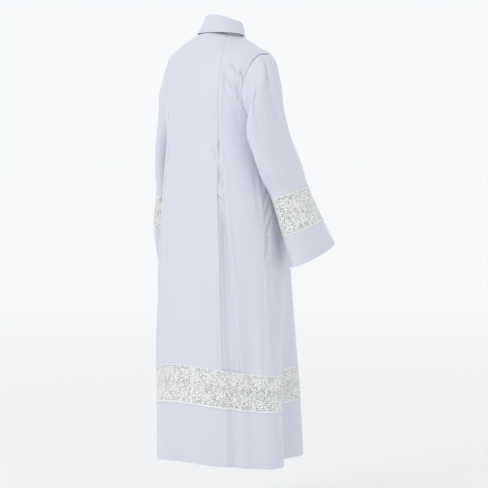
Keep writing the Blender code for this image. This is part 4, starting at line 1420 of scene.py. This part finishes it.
def tack_bar(name, points, normals):
    """A rounded bar that lies along a line on the cloth."""
    bpy.ops.object.select_all(action="DESELECT")
    bpy.ops.mesh.primitive_cylinder_add(vertices=8, radius=TACK_THICKNESS / 2, depth=1)
    bar = bpy.context.object
    bar.name = name
    edit_all(bpy.ops.mesh.bevel, offset=TACK_THICKNESS * TACK_ROUNDING, segments=2)
    start, end = points[0], points[-1]
    along, up = unit(end - start), unit(normals.mean(axis=0))
    beside = np.cross(up, along)
    local = np.array([vertex.co for vertex in bar.data.vertices])
    places = ((start + end) / 2 + np.outer(local[:, 2], end - start)
              + np.outer(local[:, 0], beside) * TACK_BREADTH + np.outer(local[:, 1], up) * TACK_RISE)
    bar.data.vertices.foreach_set("co", places.ravel())
    edit_all(bpy.ops.mesh.normals_make_consistent, inside=False)
    bpy.ops.object.shade_smooth()
    bar.data.materials.append(sewing_thread)
    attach(bar, "root")


for number, (first, last, station) in enumerate(zip(*TACKS.values()), 1):
    line = np.linspace(first, last, 5)
    tack_bar("bar_tack_" + str(number), *body_surface(line, station + 0 * line))
print("tacks:", number)

# %% [markdown]
# ## Studio
#
# A pale floor runs out under a pale sky, so that no line shows between them. One broad light
# stands on the camera's left, with a weak one beyond it and another on the camera's right: with
# white cloth, the folds only show if one side is a little brighter.

# %% Floor
FLOOR_Z, FLOOR_SIZE = -1.64, 200
# The floor's colour is painted: painted shade near the robe, fading with distance to painted light far off,
# so that the floor meets the sky.
FLOOR_NEAR_PAINTED_SHADE, FLOOR_FAR_PAINTED_LIGHT = (0.885, 0.885, 0.88, 1), (0.99, 0.99, 0.99, 1)
FADE_START, FADE_END = 1.0, 9.0

bpy.ops.object.select_all(action="DESELECT")
bpy.ops.mesh.primitive_plane_add(size=FLOOR_SIZE, location=(0, 0, FLOOR_Z))
floor = bpy.context.object
floor.name = "studio_floor"
paper = Board("floor_paper", Roughness=0.9, Specular_IOR_Level=0.0)
paper_place = paper.node("ShaderNodeTexCoord", {}, {}, output="Object")
distance = paper.node("ShaderNodeVectorMath", {"operation": "LENGTH"}, {0: paper_place}, output="Value")
painted_falloff = paper.node("ShaderNodeMapRange", {}, {"Value": distance, "From Min": FADE_START, "From Max": FADE_END})
floor.data.materials.append(paper.finish(Base_Color=blend(paper, painted_falloff, FLOOR_NEAR_PAINTED_SHADE, FLOOR_FAR_PAINTED_LIGHT)))
print("floor at", FLOOR_Z)

# %% Lights
SKY_COLOUR = (0.95, 0.965, 0.98, 1)
SKY_STRENGTH = 0.98
AIM = (0, 0, -0.65)
LIGHTS = table(("round", "height", "distance", "size", "watts"),
               [(184, 1.3, 4.2, 1.8, 35), (158, 0.2, 4.6, 1.6, 8), (256, 0.5, 4.6, 1.8, 8)])

world = bpy.data.worlds.new("studio")
bpy.context.scene.world = world
world.use_nodes = True
for socket, value in (("Color", SKY_COLOUR), ("Strength", SKY_STRENGTH)):
    world.node_tree.nodes["Background"].inputs[socket].default_value = value
for number, (turn, height, distance, size, watts) in enumerate(zip(*LIGHTS.values()), 1):
    lamp = bpy.data.lights.new("softbox_" + str(number), "AREA")
    lamp.size = size
    lamp.energy = watts
    holder = bpy.data.objects.new(lamp.name, lamp)
    bpy.context.scene.collection.objects.link(holder)
    place = np.array([distance * math.sin(math.radians(turn)),
                      -distance * math.cos(math.radians(turn)), height])
    holder.location = place
    aim = np.array(AIM) - place
    holder.rotation_euler = (math.acos(-aim[2] / np.linalg.norm(aim)), 0,
                             math.atan2(aim[1], aim[0]) - math.pi / 2)
bpy.context.scene.view_settings.view_transform = "Standard"
print("lights:", number)
